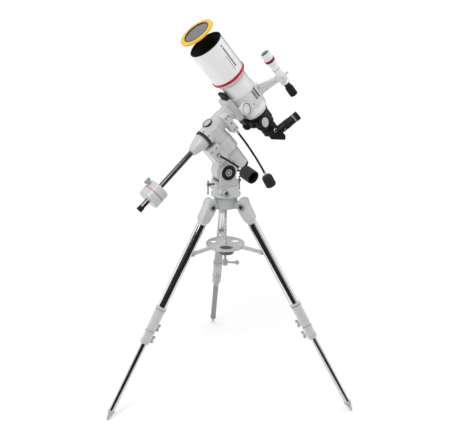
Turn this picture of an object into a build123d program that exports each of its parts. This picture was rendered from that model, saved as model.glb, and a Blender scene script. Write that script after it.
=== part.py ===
from build123d import *
import math
import os

# Short refractor on a German equatorial mount and a steel tube tripod. Millimetres, +Z up.
# The model is built about the tripod's centre line with the feet on Z = 0.

# ---------------- driving dimensions: tripod ----------------
LEG_NAMES = ("a", "b", "c")
FIRST_LEG_AZIMUTH = 94.4
LEG_SPACING = 120.0
FOOT_RADIUS = 533.0
HINGE_RADIUS = 71.0
HINGE_HEIGHT = 750.0
HUB_TOP = 785.0
HUB_BOTTOM = 737.0
HUB_RADIUS = 44.0
LUG_RADIUS = 12.8
LUG_WIDTH = 22.0
FORK_WIDTH = 36.0
FORK_SLOT_RADIUS = 13.4
FORK_SLOT_WIDTH = 22.7
PIN_RADIUS = 4.0
RUNNING_CLEARANCE = 0.06
SPIKE_LENGTH = 30.0
SPIKE_COLLAR_TOP = 40.0
SPIKE_COLLAR_RADIUS = 12.8
SPIKE_TIP_RADIUS = 3.0
LOWER_TUBE_RADIUS = 11.2
LOWER_TUBE_WALL = 1.3
LOWER_TUBE_TOP = 570.0
GUIDE_BUSH_LENGTH = 22.0
CLAMP_BOTTOM = 318.0
CLAMP_SHOULDER = 404.0
CLAMP_TOP = 466.0
UPPER_TUBE_RADIUS = 18.0
UPPER_TUBE_BORE = 16.4
UPPER_TUBE_TOP = 806.0
SPIGOT_DEPTH = 16.0
NECK_RADIUS = 15.4
ROD_RADIUS = 4.0
ROD_END = 497.0
TRAY_RADIUS = 74.0
TRAY_TOP = 590.0
TRAY_PLATE = 4.0
TRAY_RIM_HEIGHT = 9.0
TRAY_BOSS_BOTTOM = 546.0
TRAY_BOSS_RADIUS = 15.5
TRAY_WIDE_HOLE_RADIUS = 25.5
TRAY_NARROW_HOLE_RADIUS = 16.0
TRAY_HOLE_LENGTH = 6.0
TRAY_ARM_TIP = 158.0
TRAY_ARM_DROP = 8.0
TRAY_PAD_GAP = 1.5
LEVER_BOTTOM = 499.0
LEVER_TOP = 521.0
LEVER_REACH = 46.0

# ---------------- driving dimensions: mount ----------------
LATITUDE = 50.8
POLAR_AZIMUTH = 207.4
POLAR_AXIS_HEIGHT = 969.4
DEC_CROSSING = 91.3
DEC_ROLL = -4.4
SPIGOT_RADIUS = 15.0
SPIGOT_HEIGHT = 8.0
BASE_BOTTOM = 785.4
BASE_TOP = 823.0
BASE_RADIUS = 56.0
PIVOT_NORTH = 8.4
PIVOT_HEIGHT = 880.0
CHEEK_INNER = 24.0
CHEEK_OUTER = 34.0
CHEEK_TOP_RADIUS = 28.0
BARREL_RADIUS = 42.0
BARREL_HALF_WIDTH = 23.5
TONGUE_LENGTH = 55.0
TONGUE_HALF_THICKNESS = 9.0
LATITUDE_BOLT_HEIGHT = 833.0
LATITUDE_BOLT_RADIUS = 4.0
LATITUDE_CAP_RADIUS = 28.4
AZIMUTH_SCREW_NORTH = 31.5
AZIMUTH_SCREW_HEIGHT = 811.0
PEG_RADIUS = 6.0
POLAR_TUBE_RADIUS = 31.0
POLAR_TUBE_REAR = -186.0
WORM_WHEEL_HOUSING_RADIUS = 39.5
WORM_WHEEL_HOUSING_REAR = -104.0
RA_SPLIT = -47.0
POLAR_BORE_RADIUS = 20.0
RA_HUB_RADIUS = 36.0
RA_HUB_FRONT = 20.0
RA_CAP_RADIUS = 19.5
RA_CAP_FRONT = 36.0
POLAR_CAP_REAR = -201.0
RA_WORM_ALONG = -73.0
RA_WORM_BELOW = -51.0
DEC_HOUSING_RADIUS = 33.0
DEC_HOUSING_TOP = 62.0
DEC_HOUSING_BOTTOM = -43.0
SETTING_RING_BOTTOM = -52.0
DEC_CONE_BOTTOM = -117.0
DEC_SHAFT_RADIUS = 14.0
DEC_WORM_UP = 55.0
DEC_WORM_SIDE = 42.0
COUNTERWEIGHT_SHAFT_RADIUS = 10.0
COUNTERWEIGHT_SHAFT_END = -388.0
SHAFT_CAP_END = -399.0
COUNTERWEIGHT_RADIUS = 41.0
COUNTERWEIGHT_TOP = -289.0
COUNTERWEIGHT_BOTTOM = -352.0
COUNTERWEIGHT_SCREW_AT = -305.0
FLEX_RADIUS = 4.0
FERRULE_RADIUS = 5.4
FERRULE_LENGTH = 18.0

# ---------------- driving dimensions: optical tube ----------------
TUBE_ABOVE_POLAR_AXIS = 176.5
TUBE_RADIUS = 53.0
TUBE_WALL = 1.8
TUBE_FRONT = 94.0
TUBE_REAR = -60.0
DEW_SHIELD_RADIUS = 64.0
DEW_SHIELD_WALL = 2.0
DEW_SHIELD_FRONT = 250.6
DEW_SHIELD_REAR = 111.0
ACCENT_RING_RADIUS = 66.0
ACCENT_RING_REAR = 104.0
CELL_RADIUS = 60.5
CELL_REAR = 90.0
OBJECTIVE_RADIUS = 51.0
OBJECTIVE_SEAT = 96.0
RING_RADIUS = 57.0
RING_FRONT = 28.0
RING_REAR = -38.0
DOVETAIL_TOP = -59.0
DOVETAIL_BOTTOM = -70.0
DOVETAIL_FRONT = 72.0
DOVETAIL_REAR = -85.0
SADDLE_PLATE_BOTTOM = -84.0
REAR_CELL_END = -84.0
FOCUSER_ROLL = 18.5
FOCUSER_REAR = -152.0
FOCUSER_RADIUS = 35.0
DRAWTUBE_RADIUS = 27.0
DRAWTUBE_FRONT = -72.0
DRAWTUBE_REAR = -192.0
DRAWTUBE_SCREW_AT = -178.0
DRAWTUBE_COLLAR_RADIUS = 30.0
FOCUS_PINION_ALONG = -111.0
FOCUS_PINION_BELOW = -37.0
PINION_RADIUS = 5.0
FOCUS_KNOB_RADIUS = 22.0
FOCUS_KNOB_OUTER = 49.0
DIAGONAL_ROLL = -19.0
EYEPIECE_BARREL_RADIUS = 15.8
EYEPIECE_ALONG = -210.6
HOLDER_TOP = 48.0
EYEPIECE_TOP = 118.0
FINDER_ROLL = -40.0
FINDER_OUT = 155.0
FILTER_FRONT = 309.0
FILTER_PLATE = 4.0
FILTER_SKIRT = 8.0
FILTER_RADIUS = 67.0
FILTER_SKIRT_BORE = 64.5
FILM_RADIUS = 47.5

os.makedirs("parts", exist_ok=True)


# ---------------- shared shapes ----------------
def turned(corners):
    """Solid of revolution about Z from (radius, height) corners."""
    outline = Plane.XZ * Polyline(*corners, close=True)
    return revolve(make_face(outline), Axis.Z)


def tube(outer, inner, low, high):
    """Hollow cylinder about Z."""
    return turned([(inner, low), (outer, low), (outer, high), (inner, high)])


def disc(radius, low, high):
    """Solid cylinder about Z between two heights."""
    return Pos(0, 0, low) * Cylinder(radius, high - low, align=(Align.CENTER, Align.CENTER, Align.MIN))


def rod(start, end, radius):
    """Round bar between two points."""
    start, end = Vector(*start), Vector(*end)
    frame = Plane(origin=start, z_dir=end - start)
    return frame * disc(radius, 0, (end - start).length)


def block(low, high):
    """Box between two opposite corners."""
    size = [high[i] - low[i] for i in range(3)]
    middle = [(high[i] + low[i]) / 2 for i in range(3)]
    return Pos(*middle) * Box(*size)


def profile_slab(corners, plane, half_width):
    """Prism of a polygon drawn on a plane, as wide on both sides of it."""
    return extrude(plane * make_face(Polyline(*corners, close=True)), half_width, both=True)


def soft_block(low, high, radius):
    """Box with all its edges rounded."""
    solid = block(low, high)
    return fillet(solid.edges(), radius)


# ---------------- frames ----------------
def direction(azimuth, elevation):
    """Unit vector from compass angle about Z and height above the horizon."""
    a, e = math.radians(azimuth), math.radians(elevation)
    return Vector(math.cos(a) * math.cos(e), math.sin(a) * math.cos(e), math.sin(e))


NORTH = direction(POLAR_AZIMUTH, 0)
SIDEWAYS = Vector(0, 0, 1).cross(NORTH)
POLAR = direction(POLAR_AZIMUTH, LATITUDE)
POLAR_UP = POLAR.cross(SIDEWAYS)
dec_roll = math.radians(DEC_ROLL)
DEC = POLAR_UP * math.cos(dec_roll) + SIDEWAYS * math.sin(dec_roll)
ACROSS = POLAR.cross(DEC)
AXES_CROSSING = Vector(0, 0, POLAR_AXIS_HEIGHT) + POLAR * DEC_CROSSING
TUBE_CENTRE = AXES_CROSSING + DEC * TUBE_ABOVE_POLAR_AXIS

BASE_FRAME = Plane(origin=(0, 0, 0), x_dir=NORTH, z_dir=(0, 0, 1))
PIVOT_POINT = NORTH * PIVOT_NORTH + Vector(0, 0, PIVOT_HEIGHT)
POLAR_FRAME = Plane(origin=AXES_CROSSING, x_dir=SIDEWAYS, z_dir=POLAR)
DEC_FRAME = Plane(origin=AXES_CROSSING, x_dir=POLAR, z_dir=DEC)
TUBE_FRAME = Plane(origin=TUBE_CENTRE, x_dir=DEC, z_dir=POLAR)


def rolled(frame, degrees):
    """A frame turned about its own Z."""
    return frame * Rot(0, 0, degrees)


def leg_azimuth(number):
    return FIRST_LEG_AZIMUTH + LEG_SPACING * number


def leg_direction(number):
    """Unit vector up a leg, from its foot to its hinge."""
    out = direction(leg_azimuth(number), 0)
    return (out * (HINGE_RADIUS - FOOT_RADIUS) + Vector(0, 0, HINGE_HEIGHT)).normalized()


def leg_frame(number):
    """Z up the leg from the foot tip, X along the hinge pin, Y towards the inside."""
    out = direction(leg_azimuth(number), 0)
    tangent = Vector(0, 0, 1).cross(out)
    return Plane(origin=out * FOOT_RADIUS, x_dir=tangent, z_dir=leg_direction(number))


def hub_frame(number):
    """X straight out over the leg, Y along the hinge pin, Z up."""
    out = direction(leg_azimuth(number), 0)
    return Plane(origin=(0, 0, 0), x_dir=out, z_dir=(0, 0, 1))


# ---------------- tripod ----------------
def tripod_hub():
    """Head casting with three hinge lugs, a centre stud hole and the azimuth peg."""
    body = turned([(0, HUB_BOTTOM), (HUB_RADIUS - 4, HUB_BOTTOM), (HUB_RADIUS, HUB_BOTTOM + 4),
                   (HUB_RADIUS, HUB_TOP - 3), (HUB_RADIUS - 3, HUB_TOP), (SPIGOT_RADIUS, HUB_TOP),
                   (SPIGOT_RADIUS, HUB_TOP + SPIGOT_HEIGHT), (0, HUB_TOP + SPIGOT_HEIGHT)])
    for number in range(3):
        end = Pos(HINGE_RADIUS, 0, HINGE_HEIGHT) * Rot(90, 0, 0) * Cylinder(LUG_RADIUS, LUG_WIDTH)
        web = block((HUB_RADIUS - 14, -LUG_WIDTH / 2, HINGE_HEIGHT - LUG_RADIUS),
                    (HINGE_RADIUS, LUG_WIDTH / 2, HINGE_HEIGHT + LUG_RADIUS))
        hole = Pos(HINGE_RADIUS, 0, HINGE_HEIGHT) * Rot(90, 0, 0) * Cylinder(PIN_RADIUS, LUG_WIDTH + 2)
        body = body + hub_frame(number) * (end + web) - hub_frame(number) * hole
    body -= disc(ROD_RADIUS, HUB_BOTTOM - 1, HUB_BOTTOM + 26)
    peg_top = AZIMUTH_SCREW_HEIGHT + 7
    return body + BASE_FRAME * Pos(AZIMUTH_SCREW_NORTH, 0, 0) * disc(PEG_RADIUS, HUB_TOP - 5, peg_top)


def hinge_bolts():
    """Three leg hinge bolts, each with a head and a nut outside the fork."""
    half = FORK_WIDTH / 2
    bolt = disc(PIN_RADIUS, -half - 5, half + 5)
    bolt += disc(7.0, half + 0.3, half + 5) + disc(7.0, -half - 5, -half - 0.3)
    bolt = Pos(HINGE_RADIUS, 0, HINGE_HEIGHT) * Rot(90, 0, 0) * bolt
    return [hub_frame(number) * bolt for number in range(3)]


def centre_rod():
    """Threaded spreader rod that hangs from the hub."""
    return disc(ROD_RADIUS, ROD_END, HUB_BOTTOM + 24)


def foot_spike(number):
    """Concave ground spike with its collar, cut flat where it stands."""
    spike = turned([(0, -4), (SPIKE_TIP_RADIUS, -4), (SPIKE_TIP_RADIUS + 0.6, 3), (6.0, 14),
                    (10.5, SPIKE_LENGTH), (SPIKE_COLLAR_RADIUS, SPIKE_LENGTH),
                    (SPIKE_COLLAR_RADIUS, SPIKE_COLLAR_TOP), (0, SPIKE_COLLAR_TOP)])
    placed = leg_frame(number) * spike
    floor = Pos(*(direction(leg_azimuth(number), 0) * FOOT_RADIUS)) * block((-30, -30, -30), (30, 30, 0))
    return placed - floor


def lower_leg_tube(number):
    """Sliding lower tube with the guide bush at its inner end."""
    bore = LOWER_TUBE_RADIUS - LOWER_TUBE_WALL
    body = tube(LOWER_TUBE_RADIUS, bore, SPIKE_COLLAR_TOP, LOWER_TUBE_TOP)
    bush = tube(UPPER_TUBE_BORE - RUNNING_CLEARANCE, bore, LOWER_TUBE_TOP - GUIDE_BUSH_LENGTH,
                LOWER_TUBE_TOP)
    return leg_frame(number) * (body + bush)


def leg_clamp(number):
    """Clamp casting on the end of the upper tube, and its two wing screws."""
    slide_bore = LOWER_TUBE_RADIUS + RUNNING_CLEARANCE
    body = turned([(slide_bore, CLAMP_BOTTOM), (16.8, CLAMP_BOTTOM), (17.6, CLAMP_BOTTOM + 4),
                   (16.6, CLAMP_BOTTOM + 40), (18.4, CLAMP_SHOULDER - 18), (19.3, CLAMP_TOP - 6),
                   (20.3, CLAMP_TOP - 5), (20.3, CLAMP_TOP), (UPPER_TUBE_RADIUS, CLAMP_TOP),
                   (UPPER_TUBE_RADIUS, CLAMP_SHOULDER), (slide_bore, CLAMP_SHOULDER)])
    solids = [body]
    for along in (CLAMP_BOTTOM + 22, CLAMP_BOTTOM + 70):
        boss = Pos(0, 0, along) * Rot(-90, 0, 0) * disc(7.0, 14, 20.5)
        solids[0] = solids[0] + boss
        stem = Pos(0, 0, along) * Rot(-90, 0, 0) * disc(3.0, 20.5, 26)
        wing = soft_block((-2.0, 24, along - 12), (2.0, 33, along + 12), 1.6)
        solids.append(stem + wing)
    return [leg_frame(number) * solid for solid in solids]


def upper_leg_tube(number):
    """Fixed outer leg tube."""
    return leg_frame(number) * tube(UPPER_TUBE_RADIUS, UPPER_TUBE_BORE, CLAMP_SHOULDER, UPPER_TUBE_TOP)


def leg_casting(number):
    """Fork that straddles the hub lug, with a spigot in the upper tube."""
    up = leg_direction(0)
    slope_out, slope_up = -math.hypot(up.X, up.Y), up.Z

    def leg_corner(along, outward):
        return (FOOT_RADIUS + along * slope_out + outward * slope_up,
                along * slope_up - outward * slope_out)

    neck_low = UPPER_TUBE_TOP + 8
    corners = [(60, 783), (84, 783), (89, 778), (90.5, 756), leg_corner(neck_low, NECK_RADIUS - 1.5),
               leg_corner(neck_low, 1.5 - NECK_RADIUS), (61, 735)]
    head = hub_frame(number) * profile_slab(corners, Plane.XZ, FORK_WIDTH / 2)
    neck = leg_frame(number) * turned([(0, UPPER_TUBE_TOP - SPIGOT_DEPTH),
                                       (UPPER_TUBE_BORE, UPPER_TUBE_TOP - SPIGOT_DEPTH),
                                       (UPPER_TUBE_BORE, UPPER_TUBE_TOP), (NECK_RADIUS, UPPER_TUBE_TOP),
                                       (NECK_RADIUS + 0.8, UPPER_TUBE_TOP + 22),
                                       (0, UPPER_TUBE_TOP + 22)])
    slot_end = Pos(HINGE_RADIUS, 0, HINGE_HEIGHT) * Rot(90, 0, 0) * Cylinder(FORK_SLOT_RADIUS,
                                                                             FORK_SLOT_WIDTH)
    slot_way = block((HUB_RADIUS - 10, -FORK_SLOT_WIDTH / 2, HINGE_HEIGHT - 40),
                     (HINGE_RADIUS, FORK_SLOT_WIDTH / 2, HINGE_HEIGHT + 40))
    pin_hole = Pos(HINGE_RADIUS, 0, HINGE_HEIGHT) * Rot(90, 0,
                                                        0) * Cylinder(PIN_RADIUS + RUNNING_CLEARANCE,
                                                                      FORK_WIDTH + 2)
    return head + neck - hub_frame(number) * (slot_end + slot_way + pin_hole)


def tray_arm(number):
    """Spreader arm from the tray's rim to a leg, with its pad clear of the leg tube."""
    plate_low, tip = TRAY_TOP - TRAY_RIM_HEIGHT, TRAY_TOP - TRAY_ARM_DROP
    outline = [(TRAY_RADIUS - 12, TRAY_TOP), (TRAY_RADIUS + 8, TRAY_TOP - 1), (TRAY_ARM_TIP, tip),
               (TRAY_ARM_TIP, tip - 10), (TRAY_RADIUS + 8, plate_low - 2), (TRAY_RADIUS - 12, plate_low - 1)]
    pad = block((TRAY_ARM_TIP - 12, -13, tip - 10), (TRAY_ARM_TIP, 13, tip))
    leg_room = disc(UPPER_TUBE_RADIUS + TRAY_PAD_GAP, CLAMP_SHOULDER, UPPER_TUBE_TOP)
    arm = hub_frame(number) * (profile_slab(outline, Plane.XZ, 7.0) + pad)
    return arm - leg_frame(number) * leg_room - disc(TRAY_RADIUS, TRAY_BOSS_BOTTOM, TRAY_TOP + 1)


def accessory_tray():
    """Round tray with a threaded boss and three eyepiece holes, and its three arms."""
    plate_low = TRAY_TOP - TRAY_RIM_HEIGHT
    body = disc(TRAY_RADIUS, TRAY_TOP - 2 - TRAY_PLATE, TRAY_TOP - 2)
    body += tube(TRAY_RADIUS, TRAY_RADIUS - 3, plate_low, TRAY_TOP)
    body += turned([(0, TRAY_BOSS_BOTTOM), (TRAY_BOSS_RADIUS - 2, TRAY_BOSS_BOTTOM),
                    (TRAY_BOSS_RADIUS, TRAY_BOSS_BOTTOM + 4), (TRAY_BOSS_RADIUS - 3, TRAY_TOP - 5),
                    (0, TRAY_TOP - 5)])
    holes = [(TRAY_WIDE_HOLE_RADIUS, 42.0), (TRAY_NARROW_HOLE_RADIUS, 47.0), (TRAY_NARROW_HOLE_RADIUS, 47.0)]
    for number, (radius, reach) in enumerate(holes):
        centre = tray_hole_centre(number, reach)
        lip = tube(radius + 2.5, radius, TRAY_TOP - TRAY_HOLE_LENGTH, TRAY_TOP)
        body += Pos(*centre) * lip
        body -= Pos(*centre) * disc(radius, TRAY_BOSS_BOTTOM, TRAY_TOP + 1)
    body -= disc(ROD_RADIUS + RUNNING_CLEARANCE, TRAY_BOSS_BOTTOM - 1, TRAY_TOP + 1)
    return [body] + [tray_arm(number) for number in range(3)]


def tray_hole_centre(number, reach):
    """Tray holes lie between the arms."""
    return direction(leg_azimuth(number) + LEG_SPACING * 1.5, 0) * reach


def tray_lever():
    """Locking nut on the spreader rod, with its arm and ball."""
    body = tube(7.7, ROD_RADIUS + RUNNING_CLEARANCE, LEVER_BOTTOM, LEVER_TOP)
    height = (LEVER_BOTTOM + LEVER_TOP) / 2 + 2
    arm = rod((7, 0, height), (LEVER_REACH, -4, height - 1), 3.2)
    return body + arm + Pos(LEVER_REACH, -4, height - 1) * Sphere(7.5)


# ---------------- equatorial head: base and latitude axis ----------------
def azimuth_base():
    """Turning base with two cheeks for the latitude axis and posts for its bolts."""
    recess, recess_top = SPIGOT_RADIUS + RUNNING_CLEARANCE, HUB_TOP + SPIGOT_HEIGHT + 0.5
    body = turned([(recess, BASE_BOTTOM), (BASE_RADIUS, BASE_BOTTOM), (BASE_RADIUS, BASE_BOTTOM + 7),
                   (BASE_RADIUS - 6, BASE_BOTTOM + 10), (BASE_RADIUS - 8, BASE_TOP - 5),
                   (BASE_RADIUS - 10, BASE_TOP), (0, BASE_TOP), (0, recess_top), (recess, recess_top)])
    foot, drop = PIVOT_HEIGHT - BASE_TOP + 8, BASE_TOP - PIVOT_HEIGHT
    for side in (-1, 1):
        middle = side * (CHEEK_INNER + CHEEK_OUTER) / 2
        thick = (CHEEK_OUTER - CHEEK_INNER) / 2
        plane = Plane(origin=(PIVOT_NORTH, middle, PIVOT_HEIGHT), x_dir=(1, 0, 0), z_dir=(0, -1, 0))
        corners = [(-CHEEK_TOP_RADIUS, 0), (CHEEK_TOP_RADIUS, 0), (33, drop / 2), (36, drop), (34, -foot),
                   (-46, -foot), (-48, drop), (-36, drop / 2)]
        cheek = profile_slab(corners, plane, thick)
        cheek += plane * Cylinder(CHEEK_TOP_RADIUS, 2 * thick)
        cheek -= plane * Cylinder(PIN_RADIUS + 2, 2 * thick + 2)
        body += cheek
    post_top = LATITUDE_BOLT_HEIGHT + 9
    north_post = block((37, -CHEEK_INNER - 1, BASE_TOP - 4), (50, CHEEK_INNER + 1, post_top))
    south_post = block((-41, -CHEEK_INNER - 1, BASE_TOP - 4), (-31, CHEEK_INNER + 1, post_top))
    body = body + north_post + south_post
    ears = block((20, -44, BASE_TOP - 20), (43, 44, BASE_TOP + 1)) - block((19, -20, BASE_TOP - 30),
                                                                           (44, 20, BASE_TOP + 2))
    body += ears
    bolt_way = Plane(origin=(-60, 0, LATITUDE_BOLT_HEIGHT),
                     z_dir=(1, 0, 0)) * disc(LATITUDE_BOLT_RADIUS + RUNNING_CLEARANCE, 0, 130)
    peg_room = block((AZIMUTH_SCREW_NORTH - 9, -14, BASE_BOTTOM - 1),
                     (AZIMUTH_SCREW_NORTH + 9, 14, BASE_TOP - 3))
    screw_way = Plane(origin=(AZIMUTH_SCREW_NORTH, -70, AZIMUTH_SCREW_HEIGHT),
                      z_dir=(0, 1, 0)) * disc(4 + RUNNING_CLEARANCE, 0, 140)
    return BASE_FRAME * (body - bolt_way - peg_room - screw_way)


def azimuth_knobs():
    """Pair of opposed azimuth screws with round heads."""
    solids = []
    for side in (-1, 1):
        knob = disc(4.0, 11.5, 54) + turned([(0, 52), (9.5, 52), (10.5, 54), (10.5, 61), (9.0, 63),
                                             (0, 63)])
        frame = Plane(origin=(AZIMUTH_SCREW_NORTH, 0, AZIMUTH_SCREW_HEIGHT), z_dir=(0, side, 0))
        solids.append(BASE_FRAME * frame * knob)
    return solids


def altitude_bolt():
    """Latitude axis bolt with a round cap over each cheek."""
    bolt = disc(PIN_RADIUS + 2, -CHEEK_OUTER, CHEEK_OUTER)
    for side in (-1, 1):
        cap = turned([(0, CHEEK_OUTER), (LATITUDE_CAP_RADIUS - 1, CHEEK_OUTER),
                      (LATITUDE_CAP_RADIUS, CHEEK_OUTER + 1),
                      (LATITUDE_CAP_RADIUS - 1.5, CHEEK_OUTER + 4.5), (16, CHEEK_OUTER + 4.5),
                      (15, CHEEK_OUTER + 3.5), (0, CHEEK_OUTER + 3.5)])
        bolt += cap if side > 0 else Rot(180, 0, 0) * cap
    return Plane(origin=PIVOT_POINT, z_dir=SIDEWAYS) * bolt


def latitude_bolt(side):
    """T-handled bolt that bears on one face of the polar tongue."""
    inner = TONGUE_HALF_THICKNESS + 0.5 + LATITUDE_BOLT_RADIUS
    grip = 75 - PIVOT_NORTH if side > 0 else 58 + PIVOT_NORTH
    bolt = disc(LATITUDE_BOLT_RADIUS, inner, grip + 2) + Pos(0, 0, inner) * Sphere(LATITUDE_BOLT_RADIUS)
    bolt += disc(5.5, grip - 5, grip + 4)
    frame = Plane(origin=(PIVOT_NORTH, 0, LATITUDE_BOLT_HEIGHT), z_dir=(side, 0, 0))
    at = PIVOT_NORTH + side * grip
    bar = rod((at, 0, LATITUDE_BOLT_HEIGHT - 34), (at, 0, LATITUDE_BOLT_HEIGHT + 13), 2.4)
    for height in (LATITUDE_BOLT_HEIGHT - 34, LATITUDE_BOLT_HEIGHT + 13):
        bar += Pos(at, 0, height) * Sphere(3.6)
    return BASE_FRAME * (frame * bolt + bar)


# ---------------- polar axis ----------------
def polar_point(point):
    """Polar frame coordinates (along, up) of a point in the meridian."""
    offset = point - AXES_CROSSING
    return offset.dot(POLAR), offset.dot(POLAR_UP)


def polar_housing():
    """Polar axis casting with its worm box, latitude barrel and tongue."""
    body = turned([(POLAR_BORE_RADIUS, POLAR_TUBE_REAR), (POLAR_TUBE_RADIUS, POLAR_TUBE_REAR),
                   (POLAR_TUBE_RADIUS + 1, WORM_WHEEL_HOUSING_REAR - 4),
                   (WORM_WHEEL_HOUSING_RADIUS - 2, WORM_WHEEL_HOUSING_REAR),
                   (WORM_WHEEL_HOUSING_RADIUS, WORM_WHEEL_HOUSING_REAR + 3),
                   (WORM_WHEEL_HOUSING_RADIUS, RA_SPLIT - 10), (RA_HUB_RADIUS + 1, RA_SPLIT),
                   (POLAR_BORE_RADIUS, RA_SPLIT)])
    along, up = polar_point(PIVOT_POINT)
    side_plane = Plane(origin=(0, 0, 0), x_dir=(0, 0, 1), z_dir=(-1, 0, 0))
    neck = profile_slab([(-70, -22), (-182, -24), (along - 24, up), (along + 30, up - 20), (-84, -62)],
                        side_plane, BARREL_HALF_WIDTH)
    barrel = Pos(0, up, along) * Rot(0, 90, 0) * Cylinder(BARREL_RADIUS, 2 * BARREL_HALF_WIDTH)
    neck = neck + barrel
    neck = neck - disc(POLAR_TUBE_RADIUS - 2, -240, 0)
    box_low, box_high = (-36, RA_WORM_BELOW - 21, RA_WORM_ALONG - 38), (36, -22, RA_WORM_ALONG + 37)
    worm_box = soft_block(box_low, box_high, 5.0) - disc(WORM_WHEEL_HOUSING_RADIUS - 2, -150, 0)
    worm_bore = Pos(0, RA_WORM_BELOW, RA_WORM_ALONG) * Rot(0, 90, 0) * disc(8.0, 20, 50)
    casting = POLAR_FRAME * (body + neck + worm_box - worm_bore)
    tongue = block((PIVOT_NORTH - TONGUE_HALF_THICKNESS, -14, PIVOT_HEIGHT - TONGUE_LENGTH),
                   (PIVOT_NORTH + TONGUE_HALF_THICKNESS, 14, PIVOT_HEIGHT - BARREL_RADIUS + 6))
    bolt_hole = Plane(origin=PIVOT_POINT, z_dir=SIDEWAYS) * disc(PIN_RADIUS + 2 + RUNNING_CLEARANCE, -40,
                                                                 40)
    return casting + BASE_FRAME * tongue - bolt_hole


def polar_scope_cap():
    """Screw-on cover at the lower end of the polar axis."""
    low = POLAR_CAP_REAR
    return POLAR_FRAME * turned([(0, low), (24, low), (28.5, low + 3.5), (28.5, POLAR_TUBE_REAR),
                                 (POLAR_BORE_RADIUS - 1, POLAR_TUBE_REAR),
                                 (POLAR_BORE_RADIUS - 1, POLAR_TUBE_REAR + 8), (0, POLAR_TUBE_REAR + 8)])


def drive_shaft(start, heading, bend, reach, turn):
    """Flexible drive shaft: ferrule, one bowed cable and a second ferrule, with its end and heading."""
    start, heading, bend = Vector(*start), Vector(*heading), Vector(*bend)
    angle = math.radians(turn)
    bow = reach / angle
    last_heading = heading * math.cos(angle) + bend * math.sin(angle)
    first = start + heading * FERRULE_LENGTH
    last = first + heading * (bow * math.sin(angle)) + bend * (bow * (1 - math.cos(angle)))
    end = last + last_heading * FERRULE_LENGTH
    cable = sweep(Plane(origin=first, z_dir=heading) * Circle(FLEX_RADIUS),
                  TangentArc(first, last, tangent=heading))
    body = cable + rod(start, first, FERRULE_RADIUS) + rod(last, end, FERRULE_RADIUS)
    return body, end, last_heading


def slow_motion_knob(end, heading, radius, length):
    """Deep cup-shaped knob on the end of a drive shaft."""
    frame = Plane(origin=end, z_dir=heading)
    return frame * turned([(0, 0.3), (radius * 0.62, 0.3), (radius * 0.9, 9), (radius, 20),
                           (radius, length), (radius - 3, length), (radius - 4, 26), (0, 26)])


RA_DRIVE, RA_DRIVE_END, RA_DRIVE_HEADING = drive_shaft((36.3, RA_WORM_BELOW, RA_WORM_ALONG), (1, 0, 0),
                                                       (0, 0, -1), 118.0, 18.0)
DEC_DRIVE, DEC_DRIVE_END, DEC_DRIVE_HEADING = drive_shaft((-50.0, DEC_WORM_SIDE, DEC_WORM_UP), (-1, 0, 0),
                                                          (0, 0, -1), 194.0, 9.0)


def ra_flex_shaft():
    """Right ascension drive shaft on the worm box."""
    return POLAR_FRAME * RA_DRIVE


def ra_knob():
    """Right ascension slow-motion knob."""
    return POLAR_FRAME * slow_motion_knob(RA_DRIVE_END, RA_DRIVE_HEADING, 24.0, 58.0)


# ---------------- right ascension body ----------------
def ra_shaft():
    """Hollow polar shaft that carries the declination housing."""
    return POLAR_FRAME * tube(POLAR_BORE_RADIUS - RUNNING_CLEARANCE, 14.0, POLAR_TUBE_REAR + 12,
                              RA_SPLIT + 0.4)


def ra_front_cap():
    """Cover over the upper end of the polar axis."""
    return POLAR_FRAME * turned([(0, RA_HUB_FRONT), (RA_CAP_RADIUS - 1, RA_HUB_FRONT),
                                 (RA_CAP_RADIUS, RA_HUB_FRONT + 3), (RA_CAP_RADIUS, RA_CAP_FRONT - 2),
                                 (RA_CAP_RADIUS - 2, RA_CAP_FRONT), (RA_CAP_RADIUS - 3, RA_CAP_FRONT),
                                 (RA_CAP_RADIUS - 4, RA_CAP_FRONT - 1.5), (0, RA_CAP_FRONT - 1.5)])


def dec_housing():
    """Declination axis casting that turns on the polar axis."""
    barrel = disc(DEC_HOUSING_RADIUS, DEC_HOUSING_BOTTOM, DEC_HOUSING_TOP)
    worm_low, worm_high = DEC_WORM_UP - 12, DEC_WORM_UP + 11
    worm_box = soft_block((-50, 15, worm_low - 4), (30, DEC_WORM_SIDE + 10, DEC_HOUSING_TOP), 4.0)
    worm_box += soft_block((-50, DEC_WORM_SIDE - 10.5, worm_low), (30, DEC_WORM_SIDE + 11, worm_high), 4.0)
    hub = turned([(0, RA_SPLIT + 0.4), (RA_HUB_RADIUS, RA_SPLIT + 0.4), (RA_HUB_RADIUS, RA_HUB_FRONT - 6),
                  (RA_HUB_RADIUS - 10, RA_HUB_FRONT), (0, RA_HUB_FRONT)])
    cap_seat = disc(RA_CAP_RADIUS, RA_HUB_FRONT, RA_HUB_FRONT + 40)
    bore = disc(DEC_SHAFT_RADIUS + RUNNING_CLEARANCE, DEC_HOUSING_BOTTOM - 1, DEC_HOUSING_TOP + 1)
    return DEC_FRAME * (barrel + worm_box) + POLAR_FRAME * hub - POLAR_FRAME * cap_seat - DEC_FRAME * bore


def setting_ring():
    """Graduated declination circle."""
    return DEC_FRAME * tube(30.0, DEC_SHAFT_RADIUS + 1, SETTING_RING_BOTTOM, DEC_HOUSING_BOTTOM)


def dec_cone():
    """Tapered lower casting that holds the counterweight shaft."""
    shaft = COUNTERWEIGHT_SHAFT_RADIUS
    low = DEC_CONE_BOTTOM
    return DEC_FRAME * turned([(shaft, low), (13.5, low), (17, low + 6), (24, low + 30), (28.5, low + 52),
                               (28.5, SETTING_RING_BOTTOM), (shaft, SETTING_RING_BOTTOM)])


def counterweight_shaft():
    """Steel bar that carries the counterweight."""
    return DEC_FRAME * disc(COUNTERWEIGHT_SHAFT_RADIUS, COUNTERWEIGHT_SHAFT_END, SETTING_RING_BOTTOM)


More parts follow.
